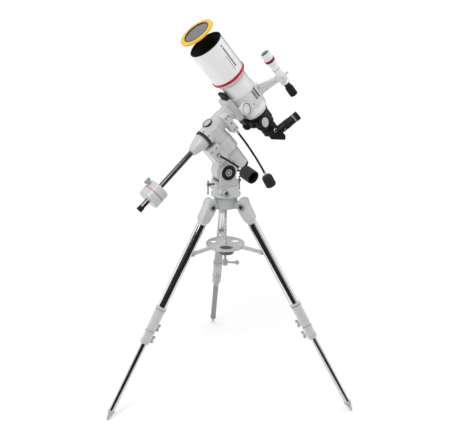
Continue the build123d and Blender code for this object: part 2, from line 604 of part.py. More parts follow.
def shaft_end_cap():
    """Safety stop at the end of the counterweight shaft."""
    low, high = SHAFT_CAP_END, COUNTERWEIGHT_SHAFT_END
    return DEC_FRAME * turned([(0, low), (11.5, low), (13.5, low + 2), (13.5, high + 5),
                               (10.02, high + 5), (10.02, high), (0, high)])


def dec_flex_shaft():
    """Declination drive shaft."""
    return DEC_FRAME * DEC_DRIVE


def dec_knob():
    """Declination slow-motion knob."""
    return DEC_FRAME * slow_motion_knob(DEC_DRIVE_END, DEC_DRIVE_HEADING, 20.5, 48.0)


def counterweight():
    """Turned iron weight with a cross-drilled locking hole."""
    bore = COUNTERWEIGHT_SHAFT_RADIUS + RUNNING_CLEARANCE
    low, high, radius = COUNTERWEIGHT_BOTTOM, COUNTERWEIGHT_TOP, COUNTERWEIGHT_RADIUS
    body = turned([(bore, low), (radius - 3, low), (radius, low + 3), (radius, high - 3),
                   (radius - 3, high), (bore, high)])
    hole = Pos(0, 0, COUNTERWEIGHT_SCREW_AT) * Rot(0, 90, 0) * disc(4 + RUNNING_CLEARANCE, 0, radius + 2)
    return DEC_FRAME * (body - hole)


def counterweight_screw():
    """Wing screw that locks the counterweight."""
    screw = disc(4.0, COUNTERWEIGHT_SHAFT_RADIUS + 0.5, 50)
    head = disc(7.0, 44, 54) + soft_block((-13, -2.5, 49), (13, 2.5, 62), 1.8)
    return DEC_FRAME * Pos(0, 0, COUNTERWEIGHT_SCREW_AT) * Rot(0, 90, 0) * (screw + head)


# ---------------- declination body ----------------
def dec_saddle():
    """Declination shaft, column and saddle that grips the dovetail bar."""
    base = TUBE_ABOVE_POLAR_AXIS
    bottom, top = base + SADDLE_PLATE_BOTTOM, base + DOVETAIL_BOTTOM
    shaft = disc(DEC_SHAFT_RADIUS, DEC_HOUSING_BOTTOM - 0.5, DEC_HOUSING_TOP + 2)
    column = turned([(0, DEC_HOUSING_TOP + 0.4), (30.5, DEC_HOUSING_TOP + 0.4), (30.5, bottom - 4),
                     (34, bottom + 2), (0, bottom + 2)])
    plate = soft_block((-46, -33, bottom), (46, 33, top), 4.0)
    saddle = shaft + column + plate
    for side in (-1, 1):
        jaw = [(22.0 * side, top - 4), (22.0 * side, top), (20.2 * side, top + 7), (33.0 * side, top + 7),
               (33.0 * side, top - 4)]
        saddle += profile_slab(jaw, Plane.YZ, 46.0)
    return DEC_FRAME * saddle


def dovetail_bar():
    """Mounting rail under the tube ring."""
    corners = [(DOVETAIL_BOTTOM, -22), (DOVETAIL_BOTTOM, 22), (DOVETAIL_TOP, 19), (DOVETAIL_TOP, -19)]
    bar = extrude(make_face(Polyline(*corners, close=True)), DOVETAIL_FRONT - DOVETAIL_REAR)
    return TUBE_FRAME * Pos(0, 0, DOVETAIL_REAR) * bar


# The cradle ring's knob turns about this plane's normal.
RING_KNOB_FRAME = Plane(origin=(-52.5, -59.0, -8.0), x_dir=(0, 0, 1), z_dir=(0.342, -0.94, 0))


def tube_ring():
    """Cradle ring round the tube, with its foot and the lug of its clamp."""
    ring = tube(RING_RADIUS, TUBE_RADIUS, RING_REAR, RING_FRONT)
    foot = block((DOVETAIL_TOP, -17, RING_REAR + 4), (-TUBE_RADIUS + 2, 17, RING_FRONT - 4))
    lug = RING_KNOB_FRAME * soft_block((-15, -24, -16), (15, 12, 0), 3.0)
    return TUBE_FRAME * (ring + (foot + lug - disc(TUBE_RADIUS, -90, 90)))


def ring_knob():
    """Large round knob that closes the cradle ring."""
    knob = turned([(0, 0.3), (17, 0.3), (23.5, 3), (23.5, 9.5), (22.5, 10.5), (20.5, 10.5), (19.5, 9.5),
                   (0, 9.5)])
    return TUBE_FRAME * RING_KNOB_FRAME * knob


def main_tube():
    """Optical tube with the rounded rear cell that carries the focuser."""
    bore = TUBE_RADIUS - TUBE_WALL
    end = REAR_CELL_END
    shell = turned([(bore, TUBE_FRONT), (TUBE_RADIUS, TUBE_FRONT), (TUBE_RADIUS, TUBE_REAR - 2),
                    (52, TUBE_REAR - 8), (49.5, TUBE_REAR - 14), (45, TUBE_REAR - 20), (44, end),
                    (34, end), (34, end + 4), (44, TUBE_REAR - 10), (bore, TUBE_REAR)])
    return TUBE_FRAME * shell


def dew_shield():
    """Front shield tube."""
    bore = DEW_SHIELD_RADIUS - DEW_SHIELD_WALL
    return TUBE_FRAME * turned([(bore, DEW_SHIELD_REAR), (DEW_SHIELD_RADIUS, DEW_SHIELD_REAR),
                                (DEW_SHIELD_RADIUS, DEW_SHIELD_FRONT - 1),
                                (DEW_SHIELD_RADIUS - 0.8, DEW_SHIELD_FRONT), (bore - 1, DEW_SHIELD_FRONT),
                                (bore - 1, DEW_SHIELD_FRONT - 6), (bore, DEW_SHIELD_FRONT - 7)])


def accent_ring():
    """Anodised ring between the shield and the lens cell."""
    radius, low, high = ACCENT_RING_RADIUS, ACCENT_RING_REAR, DEW_SHIELD_REAR
    return TUBE_FRAME * turned([(CELL_RADIUS, low), (radius - 1, low), (radius, low + 1),
                                (radius, high - 1), (radius - 1, high), (CELL_RADIUS, high)])


def lens_cell():
    """Stepped cell that holds the objective and joins shield and tube."""
    return TUBE_FRAME * turned([(TUBE_RADIUS, CELL_REAR), (56.5, CELL_REAR), (57, CELL_REAR + 6),
                                (58.5, CELL_REAR + 6.5), (CELL_RADIUS, CELL_REAR + 13),
                                (CELL_RADIUS, 121), (OBJECTIVE_RADIUS, 121),
                                (OBJECTIVE_RADIUS, OBJECTIVE_SEAT), (49, OBJECTIVE_SEAT),
                                (49, TUBE_FRONT), (TUBE_RADIUS, TUBE_FRONT)])


def sag(bulge, reach):
    """Depth of a spherical face at a distance from the axis, for its bulge at the rim."""
    curve = (OBJECTIVE_RADIUS ** 2 + bulge ** 2) / (2 * bulge)
    return curve - math.copysign(math.sqrt(curve ** 2 - reach ** 2), curve)


def lens(rear, front, rear_bulge, front_bulge):
    """Round glass between two heights on the axis, each face curved by its bulge at the rim."""
    rim, half = OBJECTIVE_RADIUS, OBJECTIVE_RADIUS / 2
    outline = Line((0, rear), (0, front))
    outline += ThreePointArc((0, front), (half, front - sag(front_bulge, half)), (rim, front - front_bulge))
    outline += Line((rim, front - front_bulge), (rim, rear + rear_bulge))
    outline += ThreePointArc((rim, rear + rear_bulge), (half, rear + sag(rear_bulge, half)), (0, rear))
    return revolve(make_face(Plane.XZ * outline), Axis.Z)


def objective_lens():
    """Two-element achromatic objective."""
    flint = lens(OBJECTIVE_SEAT + 1, OBJECTIVE_SEAT + 5.5, -1.0, -3.5)
    crown = lens(OBJECTIVE_SEAT + 6.5, OBJECTIVE_SEAT + 17.5, 3.2, 4.0)
    return [TUBE_FRAME * flint, TUBE_FRAME * crown]


# ---------------- focuser, diagonal and eyepiece ----------------
FOCUSER_FRAME = rolled(TUBE_FRAME, FOCUSER_ROLL)
DIAGONAL_FRAME = rolled(TUBE_FRAME, DIAGONAL_ROLL)


def across(frame_x, frame_z):
    """Frame whose Z lies across the tube, through a point below its axis."""
    return Pos(frame_x, 0, frame_z) * Rot(-90, 0, 0)


def focuser_housing():
    """Rack-and-pinion focuser body with its pinion box and top rail."""
    bore, front = DRAWTUBE_RADIUS + RUNNING_CLEARANCE, REAR_CELL_END
    body = turned([(bore, front), (42.5, front), (42.5, front - 10), (38, front - 11), (36, front - 16),
                   (FOCUSER_RADIUS, front - 22), (FOCUSER_RADIUS - 1, FOCUSER_REAR + 6),
                   (FOCUSER_RADIUS, FOCUSER_REAR + 5), (FOCUSER_RADIUS, FOCUSER_REAR),
                   (bore, FOCUSER_REAR)])
    rail = block((FOCUSER_RADIUS - 6, -9, FOCUSER_REAR + 1), (44, 9, front - 16))
    pinion_box = soft_block((FOCUS_PINION_BELOW - 12, -24, FOCUS_PINION_ALONG - 15),
                            (-22, 24, FOCUS_PINION_ALONG + 14), 3.0)
    tension_screw = Pos(FOCUS_PINION_BELOW - 10, 0, FOCUS_PINION_ALONG) * Rot(0, -90, 0) * disc(6.0, 0, 10)
    pinion_way = across(FOCUS_PINION_BELOW, FOCUS_PINION_ALONG) * disc(PINION_RADIUS + RUNNING_CLEARANCE,
                                                                       -30, 30)
    body = body + rail + pinion_box + tension_screw - pinion_way
    return FOCUSER_FRAME * (body - disc(bore, FOCUSER_REAR - 1, front + 1))


def focus_knobs():
    """Pinion shaft with a focusing knob at each end."""
    inner, outer, radius = FOCUS_KNOB_OUTER - 13.4, FOCUS_KNOB_OUTER, FOCUS_KNOB_RADIUS
    knob = turned([(0, inner), (12, inner), (13, inner + 2.5), (radius - 1, inner + 2.5),
                   (radius, inner + 3.5), (radius, outer - 2), (radius - 2, outer), (radius - 4, outer),
                   (radius - 5, outer - 1), (0, outer - 1)])
    shaft = disc(PINION_RADIUS, -inner, inner)
    return FOCUSER_FRAME * across(FOCUS_PINION_BELOW,
                                  FOCUS_PINION_ALONG) * (shaft + knob + Rot(180, 0, 0) * knob)


def drawtube():
    """Sliding drawtube with the collar that takes the diagonal."""
    rear, collar_front = DRAWTUBE_REAR, DRAWTUBE_REAR + 24
    seat = EYEPIECE_BARREL_RADIUS + RUNNING_CLEARANCE
    body = turned([(24, DRAWTUBE_FRONT), (DRAWTUBE_RADIUS, DRAWTUBE_FRONT),
                   (DRAWTUBE_RADIUS, collar_front + 1), (DRAWTUBE_COLLAR_RADIUS, collar_front),
                   (DRAWTUBE_COLLAR_RADIUS, rear + 2), (DRAWTUBE_COLLAR_RADIUS - 2, rear), (seat, rear),
                   (seat, collar_front), (24, collar_front + 4)])
    screw_hole = Pos(0, 0, DRAWTUBE_SCREW_AT) * Rot(90, 0, 0) * disc(2.5, EYEPIECE_BARREL_RADIUS - 1, 34)
    return TUBE_FRAME * (body - screw_hole)


def drawtube_screw():
    """Thumbscrew that holds the diagonal in the drawtube."""
    screw = disc(2.5, EYEPIECE_BARREL_RADIUS + 0.6,
                 36) + turned([(0, 33), (6.5, 33), (7, 34), (7, 41), (6, 42), (0, 42)])
    return TUBE_FRAME * Pos(0, 0, DRAWTUBE_SCREW_AT) * Rot(90, 0, 0) * screw


def diagonal():
    """Right-angle mirror diagonal with its eyepiece holder."""
    axis, light = EYEPIECE_ALONG, 12.5
    face = DRAWTUBE_REAR - 0.4
    corners = [(-19, face), (-19, axis), (19, axis - 38), (24, axis - 38), (33, axis - 25), (26, face)]
    body = profile_slab(corners, Plane.XZ, 17.5)
    nose = disc(EYEPIECE_BARREL_RADIUS, face - 1, DRAWTUBE_REAR + 22)
    holder = Pos(0, 0, axis) * Rot(0, 90, 0) * disc(17.4, 18, HOLDER_TOP)
    rim = Pos(0, 0, axis) * Rot(0, 90, 0) * disc(17.6, HOLDER_TOP - 7, HOLDER_TOP)
    light_in = disc(light, axis - 2, DRAWTUBE_REAR + 23)
    light_out = Pos(0, 0, axis) * Rot(0, 90, 0) * disc(light, -6, HOLDER_TOP)
    barrel_bore = Pos(0, 0, axis) * Rot(0, 90, 0) * disc(EYEPIECE_BARREL_RADIUS + RUNNING_CLEARANCE, 26,
                                                         HOLDER_TOP + 1)
    return DIAGONAL_FRAME * (body + nose + holder + rim - light_in - light_out - barrel_bore)


def eyepiece():
    """Eyepiece with its barrel in the diagonal."""
    low, step, top = 28.0, HOLDER_TOP + 0.4, EYEPIECE_TOP
    body = turned([(0, low + 4), (13, low), (EYEPIECE_BARREL_RADIUS, low), (EYEPIECE_BARREL_RADIUS, step),
                   (17.5, step), (17.5, step + 26), (16.8, step + 28), (16.8, top - 14), (15.5, top - 12),
                   (15.5, top - 2), (14, top), (10, top), (9, top - 3), (0, top - 3)])
    return DIAGONAL_FRAME * Pos(0, 0, EYEPIECE_ALONG) * Rot(0, 90, 0) * body


# ---------------- finder ----------------
FINDER_FRAME = rolled(TUBE_FRAME, FINDER_ROLL)


def finder_bracket():
    """Shoe on the cradle ring, stalk and ring of the finder."""
    shoe = block((50, -13, -32), (64, 13, 18)) - disc(RING_RADIUS, -90, 90)
    stalk = block((60, -9, -18), (FINDER_OUT - 15, 9, 2)) - block((72, -20, -13), (FINDER_OUT - 24, -4, -3))
    ring = Pos(FINDER_OUT, 0, 0) * tube(17.5, 13.6, -19, 3)
    return FINDER_FRAME * (shoe + stalk + ring - Pos(FINDER_OUT, 0, 0) * disc(13.6, -40, 40))


def finder_tube():
    """Finder body with its front cell, rings and flared rear."""
    body = turned([(11.5, -30), (17, -36), (17, -31), (13.6, -24), (13.6, 28), (14.8, 29), (14.8, 35),
                   (13.6, 36), (13.6, 56), (17.4, 62), (17.4, 72), (18.6, 73), (18.6, 79), (17.4, 80),
                   (17.4, 106), (16.4, 108), (15, 108), (15, 101), (0, 101), (0, 97), (15, 97), (12, 60),
                   (11.5, 20)])
    return FINDER_FRAME * Pos(FINDER_OUT, 0, 0) * body


def finder_eyepiece():
    """Finder eyepiece."""
    body = turned([(0, -32), (11.5, -32), (11.5, -58), (13.4, -62), (13.4, -92), (12, -96), (8, -96),
                   (7, -92), (0, -92)])
    return FINDER_FRAME * Pos(FINDER_OUT, 0, 0) * body


# ---------------- solar filter ----------------
def solar_filter_ring():
    """Filter ring whose skirt slips over the dew shield."""
    front, plate_rear = FILTER_FRONT, FILTER_FRONT - FILTER_PLATE
    skirt_rear = plate_rear - FILTER_SKIRT
    return TUBE_FRAME * turned([(FILM_RADIUS, plate_rear), (FILTER_SKIRT_BORE, plate_rear),
                                (FILTER_SKIRT_BORE, skirt_rear), (FILTER_RADIUS, skirt_rear),
                                (FILTER_RADIUS, front - 0.8), (FILTER_RADIUS - 0.8, front),
                                (FILM_RADIUS, front)])


def solar_filter_film():
    """Film held in the filter ring."""
    rear = FILTER_FRONT - FILTER_PLATE + 1.2
    return TUBE_FRAME * disc(FILM_RADIUS, rear, rear + 0.8)


# ---------------- the parts ----------------
single_parts = [tripod_hub, hinge_bolts, centre_rod, accessory_tray, tray_lever, azimuth_base,
                azimuth_knobs, altitude_bolt, polar_housing, polar_scope_cap, ra_flex_shaft, ra_knob,
                ra_shaft, ra_front_cap, dec_housing, setting_ring, dec_cone, counterweight_shaft,
                shaft_end_cap, dec_flex_shaft, dec_knob, counterweight, counterweight_screw, dec_saddle,
                dovetail_bar, tube_ring, ring_knob, main_tube, dew_shield, accent_ring, lens_cell,
                objective_lens, focuser_housing, focus_knobs, drawtube, drawtube_screw, diagonal,
                eyepiece, finder_bracket, finder_tube, finder_eyepiece, solar_filter_ring,
                solar_filter_film, ]
leg_parts = [leg_casting, upper_leg_tube, leg_clamp, lower_leg_tube, foot_spike]

shapes = {make.__name__: make() for make in single_parts}
shapes["latitude_bolt_front"] = latitude_bolt(1)
shapes["latitude_bolt_rear"] = latitude_bolt(-1)
for number, letter in enumerate(LEG_NAMES):
    for make in leg_parts:
        shapes[f"{make.__name__}_{letter}"] = make(number)

# The origin moves to the middle of the whole model, on the floor.
solids = {name: list(shape) if isinstance(shape, list) else [shape] for name, shape in shapes.items()}
boxes = [solid.bounding_box() for group in solids.values() for solid in group]
middle_x = (min(box.min.X for box in boxes) + max(box.max.X for box in boxes)) / 2
middle_y = (min(box.min.Y for box in boxes) + max(box.max.Y for box in boxes)) / 2
for name, group in solids.items():
    moved = [Pos(-middle_x, -middle_y, 0) * solid for solid in group]
    export_step(moved[0] if len(moved) == 1 else Compound(children=moved), f"parts/{name}.step")
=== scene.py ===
import math

import bmesh
import bpy
from mathutils import Matrix, Vector


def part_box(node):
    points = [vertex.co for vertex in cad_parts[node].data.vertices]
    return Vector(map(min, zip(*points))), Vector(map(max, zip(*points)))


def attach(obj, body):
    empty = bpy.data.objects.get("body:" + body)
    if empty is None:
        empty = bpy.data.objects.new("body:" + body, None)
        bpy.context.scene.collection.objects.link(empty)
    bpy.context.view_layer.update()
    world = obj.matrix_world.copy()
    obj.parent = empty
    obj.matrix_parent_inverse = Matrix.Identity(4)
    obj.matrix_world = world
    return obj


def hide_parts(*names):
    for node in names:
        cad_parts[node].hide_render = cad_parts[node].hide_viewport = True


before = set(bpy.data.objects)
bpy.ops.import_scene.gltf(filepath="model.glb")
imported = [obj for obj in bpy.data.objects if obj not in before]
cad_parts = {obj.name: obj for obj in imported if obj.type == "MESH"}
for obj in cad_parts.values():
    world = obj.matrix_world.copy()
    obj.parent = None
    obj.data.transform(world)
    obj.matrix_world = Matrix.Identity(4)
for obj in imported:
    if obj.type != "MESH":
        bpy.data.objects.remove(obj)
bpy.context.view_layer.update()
MM = 0.001


# ---------------------------------------------------------------- frames
def direction(azimuth, elevation):
    """Unit vector from an angle about Z and a height above the horizon."""
    a, e = math.radians(azimuth), math.radians(elevation)
    return Vector((math.cos(a) * math.cos(e), math.sin(a) * math.cos(e), math.sin(e)))


def frame_at(origin, x, z):
    """Matrix from local millimetres to the row frame."""
    x, z = Vector(x).normalized(), Vector(z).normalized()
    y = z.cross(x).normalized()
    x = y.cross(z)
    matrix = Matrix.Identity(4)
    for column, axis in enumerate((x, y, z)):
        matrix.col[column] = (*(axis * MM), 0)
    matrix.col[3] = (*origin, 1)
    return matrix


def at(x=0, y=0, z=0):
    return Matrix.Translation((x, y, z))


def turn(degrees, axis):
    return Matrix.Rotation(math.radians(degrees), 4, axis)


def facing(normal, up=(0, 0, 1)):
    """Rotation that takes local Z to a direction."""
    z = Vector(normal).normalized()
    x = Vector(up).cross(z)
    x = x.normalized() if x.length > 1e-6 else Vector((1, 0, 0))
    return Matrix((x, z.cross(x), z)).transposed().to_4x4()


# Angles and lengths that place the local frames, in degrees and millimetres.
POLE_AZIMUTH, POLE_HEIGHT, POLE_ROLL = 207.4, 50.8, -4.4
FIRST_LEG, LEG_TURN = 94.4, 120
PIVOT_OUT, PIVOT_UP, FOOT_OUT = 71.0, 750.0, 533.0

low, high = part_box("centre_rod")
AXIS = Vector(((low.x + high.x) / 2, (low.y + high.y) / 2, 0))
UP = Vector((0, 0, 1))
NORTH = direction(POLE_AZIMUTH, 0)
SIDEWAYS = UP.cross(NORTH)
POLAR_AXIS = direction(POLE_AZIMUTH, POLE_HEIGHT)
POLAR_UP = POLAR_AXIS.cross(SIDEWAYS)
roll = math.radians(POLE_ROLL)
DEC_AXIS = POLAR_UP * math.cos(roll) + SIDEWAYS * math.sin(roll)
CROSSING = AXIS + UP * 0.9694 + POLAR_AXIS * 0.0913

ROW = Matrix.Identity(4)
CENTRE = frame_at(AXIS, (1, 0, 0), UP)
BASE = frame_at(AXIS, NORTH, UP)
POLAR = frame_at(CROSSING, SIDEWAYS, POLAR_AXIS)
DEC = frame_at(CROSSING, POLAR_AXIS, DEC_AXIS)
TUBE = frame_at(CROSSING + DEC_AXIS * 0.1765, DEC_AXIS, POLAR_AXIS)
FOCUSER = TUBE @ turn(18.5, "Z")
DIAGONAL = TUBE @ turn(-19.0, "Z")
FINDER_SIDE = TUBE @ turn(-40.0, "Z")
FINDER = FINDER_SIDE @ at(155.0)
LEGS = []
for number, letter in enumerate("abc"):
    out = direction(FIRST_LEG + LEG_TURN * number, 0)
    up_leg = (out * (PIVOT_OUT - FOOT_OUT) + UP * PIVOT_UP).normalized()
    leg_frame = frame_at(AXIS + out * (FOOT_OUT * MM), UP.cross(out), up_leg)
    LEGS.append((leg_frame, frame_at(AXIS, out, UP), letter))


# ---------------------------------------------------------------- materials
def surface(name, colour, roughness, metallic=0.0, variation=0.05, rough_variation=0.08, grain=900.0,
            bump=0.15, stretch=(1, 1, 1), coat=0.0, edge=0.0, bump_size=0.00004, specular=0.5):
    """Solid material with fine grain, slow colour drift, uneven gloss and, if asked, softened edges."""
    m = bpy.data.materials.new(name)
    m.use_nodes = True
    nodes, links = m.node_tree.nodes, m.node_tree.links
    shader = nodes["Principled BSDF"]
    shader.inputs["Metallic"].default_value = metallic
    shader.inputs["Coat Weight"].default_value = coat
    shader.inputs["Coat Roughness"].default_value = 0.08
    shader.inputs["Specular IOR Level"].default_value = specular
    place = nodes.new("ShaderNodeTexCoord")
    scale = nodes.new("ShaderNodeMapping")
    scale.inputs["Scale"].default_value = stretch
    links.new(place.outputs["Object"], scale.inputs["Vector"])
    fine = nodes.new("ShaderNodeTexNoise")
    fine.inputs["Scale"].default_value = grain
    fine.inputs["Detail"].default_value = 4
    links.new(scale.outputs["Vector"], fine.inputs["Vector"])
    slow = nodes.new("ShaderNodeTexNoise")
    slow.inputs["Scale"].default_value = 22.0
    slow.inputs["Detail"].default_value = 6
    slow.inputs["Roughness"].default_value = 0.65
    links.new(place.outputs["Object"], slow.inputs["Vector"])

    ramp = nodes.new("ShaderNodeValToRGB")
    dark = [c * (1 - variation) for c in colour]
    light = [min(1.0, c * (1 + variation * 0.6)) for c in colour]
    ramp.color_ramp.elements[0].position, ramp.color_ramp.elements[0].color = 0.32, (*dark, 1)
    ramp.color_ramp.elements[1].position, ramp.color_ramp.elements[1].color = 0.68, (*light, 1)
    links.new(slow.outputs["Fac"], ramp.inputs["Fac"])
    links.new(ramp.outputs["Color"], shader.inputs["Base Color"])
    gloss = nodes.new("ShaderNodeMapRange")
    gloss.inputs["From Min"].default_value, gloss.inputs["From Max"].default_value = 0.3, 0.7
    gloss.inputs["To Min"].default_value = max(0.02, roughness - rough_variation)
    gloss.inputs["To Max"].default_value = min(1.0, roughness + rough_variation)
    mixed = nodes.new("ShaderNodeMath")
    mixed.operation = "MULTIPLY_ADD"
    mixed.inputs[1].default_value, mixed.inputs[2].default_value = 0.5, 0.25
    links.new(fine.outputs["Fac"], mixed.inputs[0])
    blend = nodes.new("ShaderNodeMath")
    blend.operation = "ADD"
    links.new(mixed.outputs[0], blend.inputs[0])
    half = nodes.new("ShaderNodeMath")
    half.operation = "MULTIPLY_ADD"
    half.inputs[1].default_value, half.inputs[2].default_value = 0.6, -0.3
    links.new(slow.outputs["Fac"], half.inputs[0])
    links.new(half.outputs[0], blend.inputs[1])
    links.new(blend.outputs[0], gloss.inputs["Value"])
    links.new(gloss.outputs["Result"], shader.inputs["Roughness"])
    relief = nodes.new("ShaderNodeBump")
    relief.inputs["Strength"].default_value = bump
    relief.inputs["Distance"].default_value = bump_size
    links.new(fine.outputs["Fac"], relief.inputs["Height"])
    if edge:
        soft = nodes.new("ShaderNodeBevel")
        soft.samples = 4
        soft.inputs["Radius"].default_value = edge
        links.new(soft.outputs["Normal"], relief.inputs["Normal"])
    links.new(relief.outputs["Normal"], shader.inputs["Normal"])
    return m


WHITE = (0.86, 0.865, 0.865)
enamel = surface("enamel", (0.56, 0.57, 0.565), 0.34, coat=0.35, edge=0.0014, grain=1400, bump=0.25,
                 variation=0.03)
hub_enamel = surface("hub_enamel", (0.47, 0.50, 0.48), 0.42, coat=0.2, edge=0.0014, grain=1400, bump=0.3,
                     variation=0.04)
tube_white = surface("tube_white", WHITE, 0.20, coat=0.5, edge=0.0006, grain=2200, bump=0.12,
                     variation=0.02)
ring_white = surface("ring_white", (0.72, 0.725, 0.725), 0.30, coat=0.4, edge=0.0010, grain=1800,
                     bump=0.2, variation=0.025)
chrome = surface("chrome", (0.78, 0.785, 0.79), 0.10, metallic=1.0, rough_variation=0.05, grain=500,
                 bump=0.1, stretch=(1, 1, 0.05), variation=0.03)
# Chrome copy with a darker colour for the lower leg tubes: painted shade for their darker reflections.
shaded_chrome = surface("shaded_chrome", (0.60, 0.605, 0.61), 0.14, metallic=1.0, rough_variation=0.05,
                     grain=500, bump=0.1, stretch=(1, 1, 0.05), variation=0.03)
dark_chrome = surface("dark_chrome", (0.24, 0.24, 0.245), 0.16, metallic=1.0, rough_variation=0.04,
                      grain=900, bump=0.05, variation=0.05)
bright = surface("bright_steel", (0.80, 0.80, 0.80), 0.18, metallic=1.0, rough_variation=0.07, grain=1800,
                 edge=0.0004)
steel = surface("turned_steel", (0.55, 0.55, 0.56), 0.26, metallic=1.0, grain=1500, stretch=(1, 1, 6),
                edge=0.0004)
tool_steel = surface("tool_steel", (0.27, 0.27, 0.28), 0.24, metallic=1.0, grain=1500, edge=0.0004)
dark_steel = surface("dark_steel", (0.10, 0.10, 0.105), 0.34, metallic=0.9, grain=1200, bump=0.3,
                     edge=0.0004)
pearl = surface("pearl_plastic", (0.48, 0.48, 0.50), 0.30, metallic=0.25, coat=0.3, grain=1500,
                variation=0.08)
black_metal = surface("black_anodised", (0.014, 0.014, 0.016), 0.40, grain=1300, bump=0.25, edge=0.0005,
                      variation=0.25, specular=0.22)
black_plastic = surface("black_plastic", (0.013, 0.013, 0.015), 0.44, grain=1600, bump=0.45, edge=0.0005,
                        variation=0.3, specular=0.25)
inner_black = surface("inner_black", (0.006, 0.006, 0.007), 0.62, grain=1500, bump=0.5, variation=0.4)
flocking = surface("flocking", (0.062, 0.062, 0.066), 0.8, grain=2400, bump=0.6, variation=0.3,
                   specular=0.2)
rubber = surface("rubber", (0.014, 0.014, 0.015), 0.62, specular=0.22, grain=2200, bump=0.6,
                 bump_size=0.00008, variation=0.3, edge=0.0006)
grey_plastic = surface("dark_grey_plastic", (0.022, 0.022, 0.025), 0.42, specular=0.3, grain=1500,
                       bump=0.4, edge=0.0006, variation=0.2)
foot_plastic = surface("foot_plastic", (0.46, 0.46, 0.46), 0.38, grain=1300, bump=0.35, edge=0.0008,
                       variation=0.08)
crimson = surface("crimson_anodised", (0.55, 0.006, 0.030), 0.30, metallic=0.15, coat=0.15, grain=1800,
                  variation=0.10)
yellow = surface("yellow_ring", (0.80, 0.50, 0.004), 0.40, coat=0.05, grain=1500, bump=0.25, edge=0.0006,
                 variation=0.07)
film = surface("filter_film", (0.16, 0.152, 0.17), 0.22, metallic=0.55, grain=60, bump=0.5,
               bump_size=0.0004, variation=0.18, rough_variation=0.1)
grey_ink = surface("grey_ink", (0.12, 0.12, 0.13), 0.45, grain=2500, variation=0.15)
pale_ink = surface("pale_ink", (0.42, 0.43, 0.44), 0.45, grain=2500, variation=0.10)
white_ink = surface("white_ink", (0.80, 0.80, 0.80), 0.45, grain=2500, variation=0.05)


def coated_glass(name, tint):
    """Dark coated lens glass with a slow sheen."""
    return surface(name, tint, 0.10, grain=80, bump=0.05, coat=0.25, variation=0.3, rough_variation=0.03,
                   specular=0.35)


lens_glass = coated_glass("lens_glass", (0.03, 0.05, 0.055))
finder_glass = coated_glass("finder_glass", (0.006, 0.055, 0.042))


def on_each_leg(stem):
    """Names of a node that every leg has."""
    return [stem + letter for _, _, letter in LEGS]


CAD_MATERIALS = {
    hub_enamel: ["tripod_hub"],
    dark_steel: ["hinge_bolts", "centre_rod"],
    enamel: ["accessory_tray", "azimuth_base", "polar_housing", "dec_housing", "dec_cone", "dec_saddle",
             "counterweight", *on_each_leg("leg_casting_"), *on_each_leg("leg_clamp_")],
    chrome: on_each_leg("upper_leg_tube_"),
    shaded_chrome: on_each_leg("lower_leg_tube_"),
    foot_plastic: on_each_leg("foot_spike_"),
    ring_white: ["tube_ring", "finder_bracket"],
    tube_white: ["main_tube", "dew_shield", "lens_cell", "finder_tube"],
    bright: ["drawtube_screw"],
    tool_steel: ["latitude_bolt_front", "latitude_bolt_rear"],
    dark_chrome: ["counterweight_shaft"],
    steel: ["ra_shaft"],
    rubber: ["dovetail_bar", "altitude_bolt", "polar_scope_cap", "shaft_end_cap"],
    black_plastic: ["ra_flex_shaft", "dec_flex_shaft", "eyepiece", "finder_eyepiece", "diagonal"],
    grey_plastic: ["ra_knob", "dec_knob"],
    pearl: ["azimuth_knobs", "tray_lever", "counterweight_screw", "ra_front_cap", "ring_knob",
            "focus_knobs"],
    black_metal: ["setting_ring", "focuser_housing", "drawtube"],
    crimson: ["accent_ring"],
    lens_glass: ["objective_lens"],
    yellow: ["solar_filter_ring"],
    film: ["solar_filter_film"],
}
for material, names in CAD_MATERIALS.items():
    for name in names:
        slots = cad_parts[name].data.materials
        slots.clear()
        slots.append(material)


# ---------------------------------------------------------------- mesh builders (local millimetres)
def lathe(profile, segments=72, ribs=0, rib_depth=0.0, rib_low=0.0, rib_high=0.0):
    """Closed surface of revolution about Z. Ribs run along its outside between two heights."""
    bm = bmesh.new()
    outside = max(r for r, _ in profile)
    if ribs:
        segments = ribs * 8
    rings = []
    for r, z in profile:
        if r < 1e-6:
            rings.append([bm.verts.new((0, 0, z))])
            continue
        ring = []
        for i in range(segments):
            a = 2 * math.pi * i / segments
            radius = r
            if ribs and rib_low <= z <= rib_high and r > outside * 0.72:
                radius -= rib_depth * (0.5 - 0.5 * math.cos(ribs * a)) ** 2
            ring.append(bm.verts.new((radius * math.cos(a), radius * math.sin(a), z)))
        rings.append(ring)
    for first, second in zip(rings, rings[1:] + rings[:1]):
        if len(first) == 1 and len(second) == 1:
            continue
        for i in range(segments):
            j = (i + 1) % segments
            if len(first) == 1:
                bm.faces.new((first[0], second[j], second[i]))
            elif len(second) == 1:
                bm.faces.new((first[i], first[j], second[0]))
            else:
                bm.faces.new((first[i], first[j], second[j], second[i]))
    bmesh.ops.recalc_face_normals(bm, faces=bm.faces)
    return bm


def corner_arc(to_before, here, to_after, radius, share, steps):
    """Points of the parabola that rounds a corner, taking at most a share of either side."""
    reach = min(radius, to_before.length * share, to_after.length * share)
    start, end = here + to_before.normalized() * reach, here + to_after.normalized() * reach
    points = []
    for k in range(steps + 1):
        t = k / steps
        p = start * (1 - t) ** 2 + here * 2 * t * (1 - t) + end * t ** 2
        points.append((p.x, p.y))
    return points


def soft_profile(profile, radius, steps=3):
    """Rounds the corners of a lathe profile, except where it meets the axis."""
    result = []
    count = len(profile)
    for i, (r, z) in enumerate(profile):
        before, after = Vector(profile[i - 1]), Vector(profile[(i + 1) % count])
        here = Vector((r, z))
        if r < 1e-6 or before.x < 1e-6 and after.x < 1e-6:
            result.append((r, z))
            continue
        result += corner_arc(before - here, here, after - here, radius, 0.45, steps)
    return result


def turned(profile, radius, segments=72, **ribs):
    """Closed surface of revolution with its corners rounded."""
    return lathe(soft_profile(profile, radius), segments, **ribs)


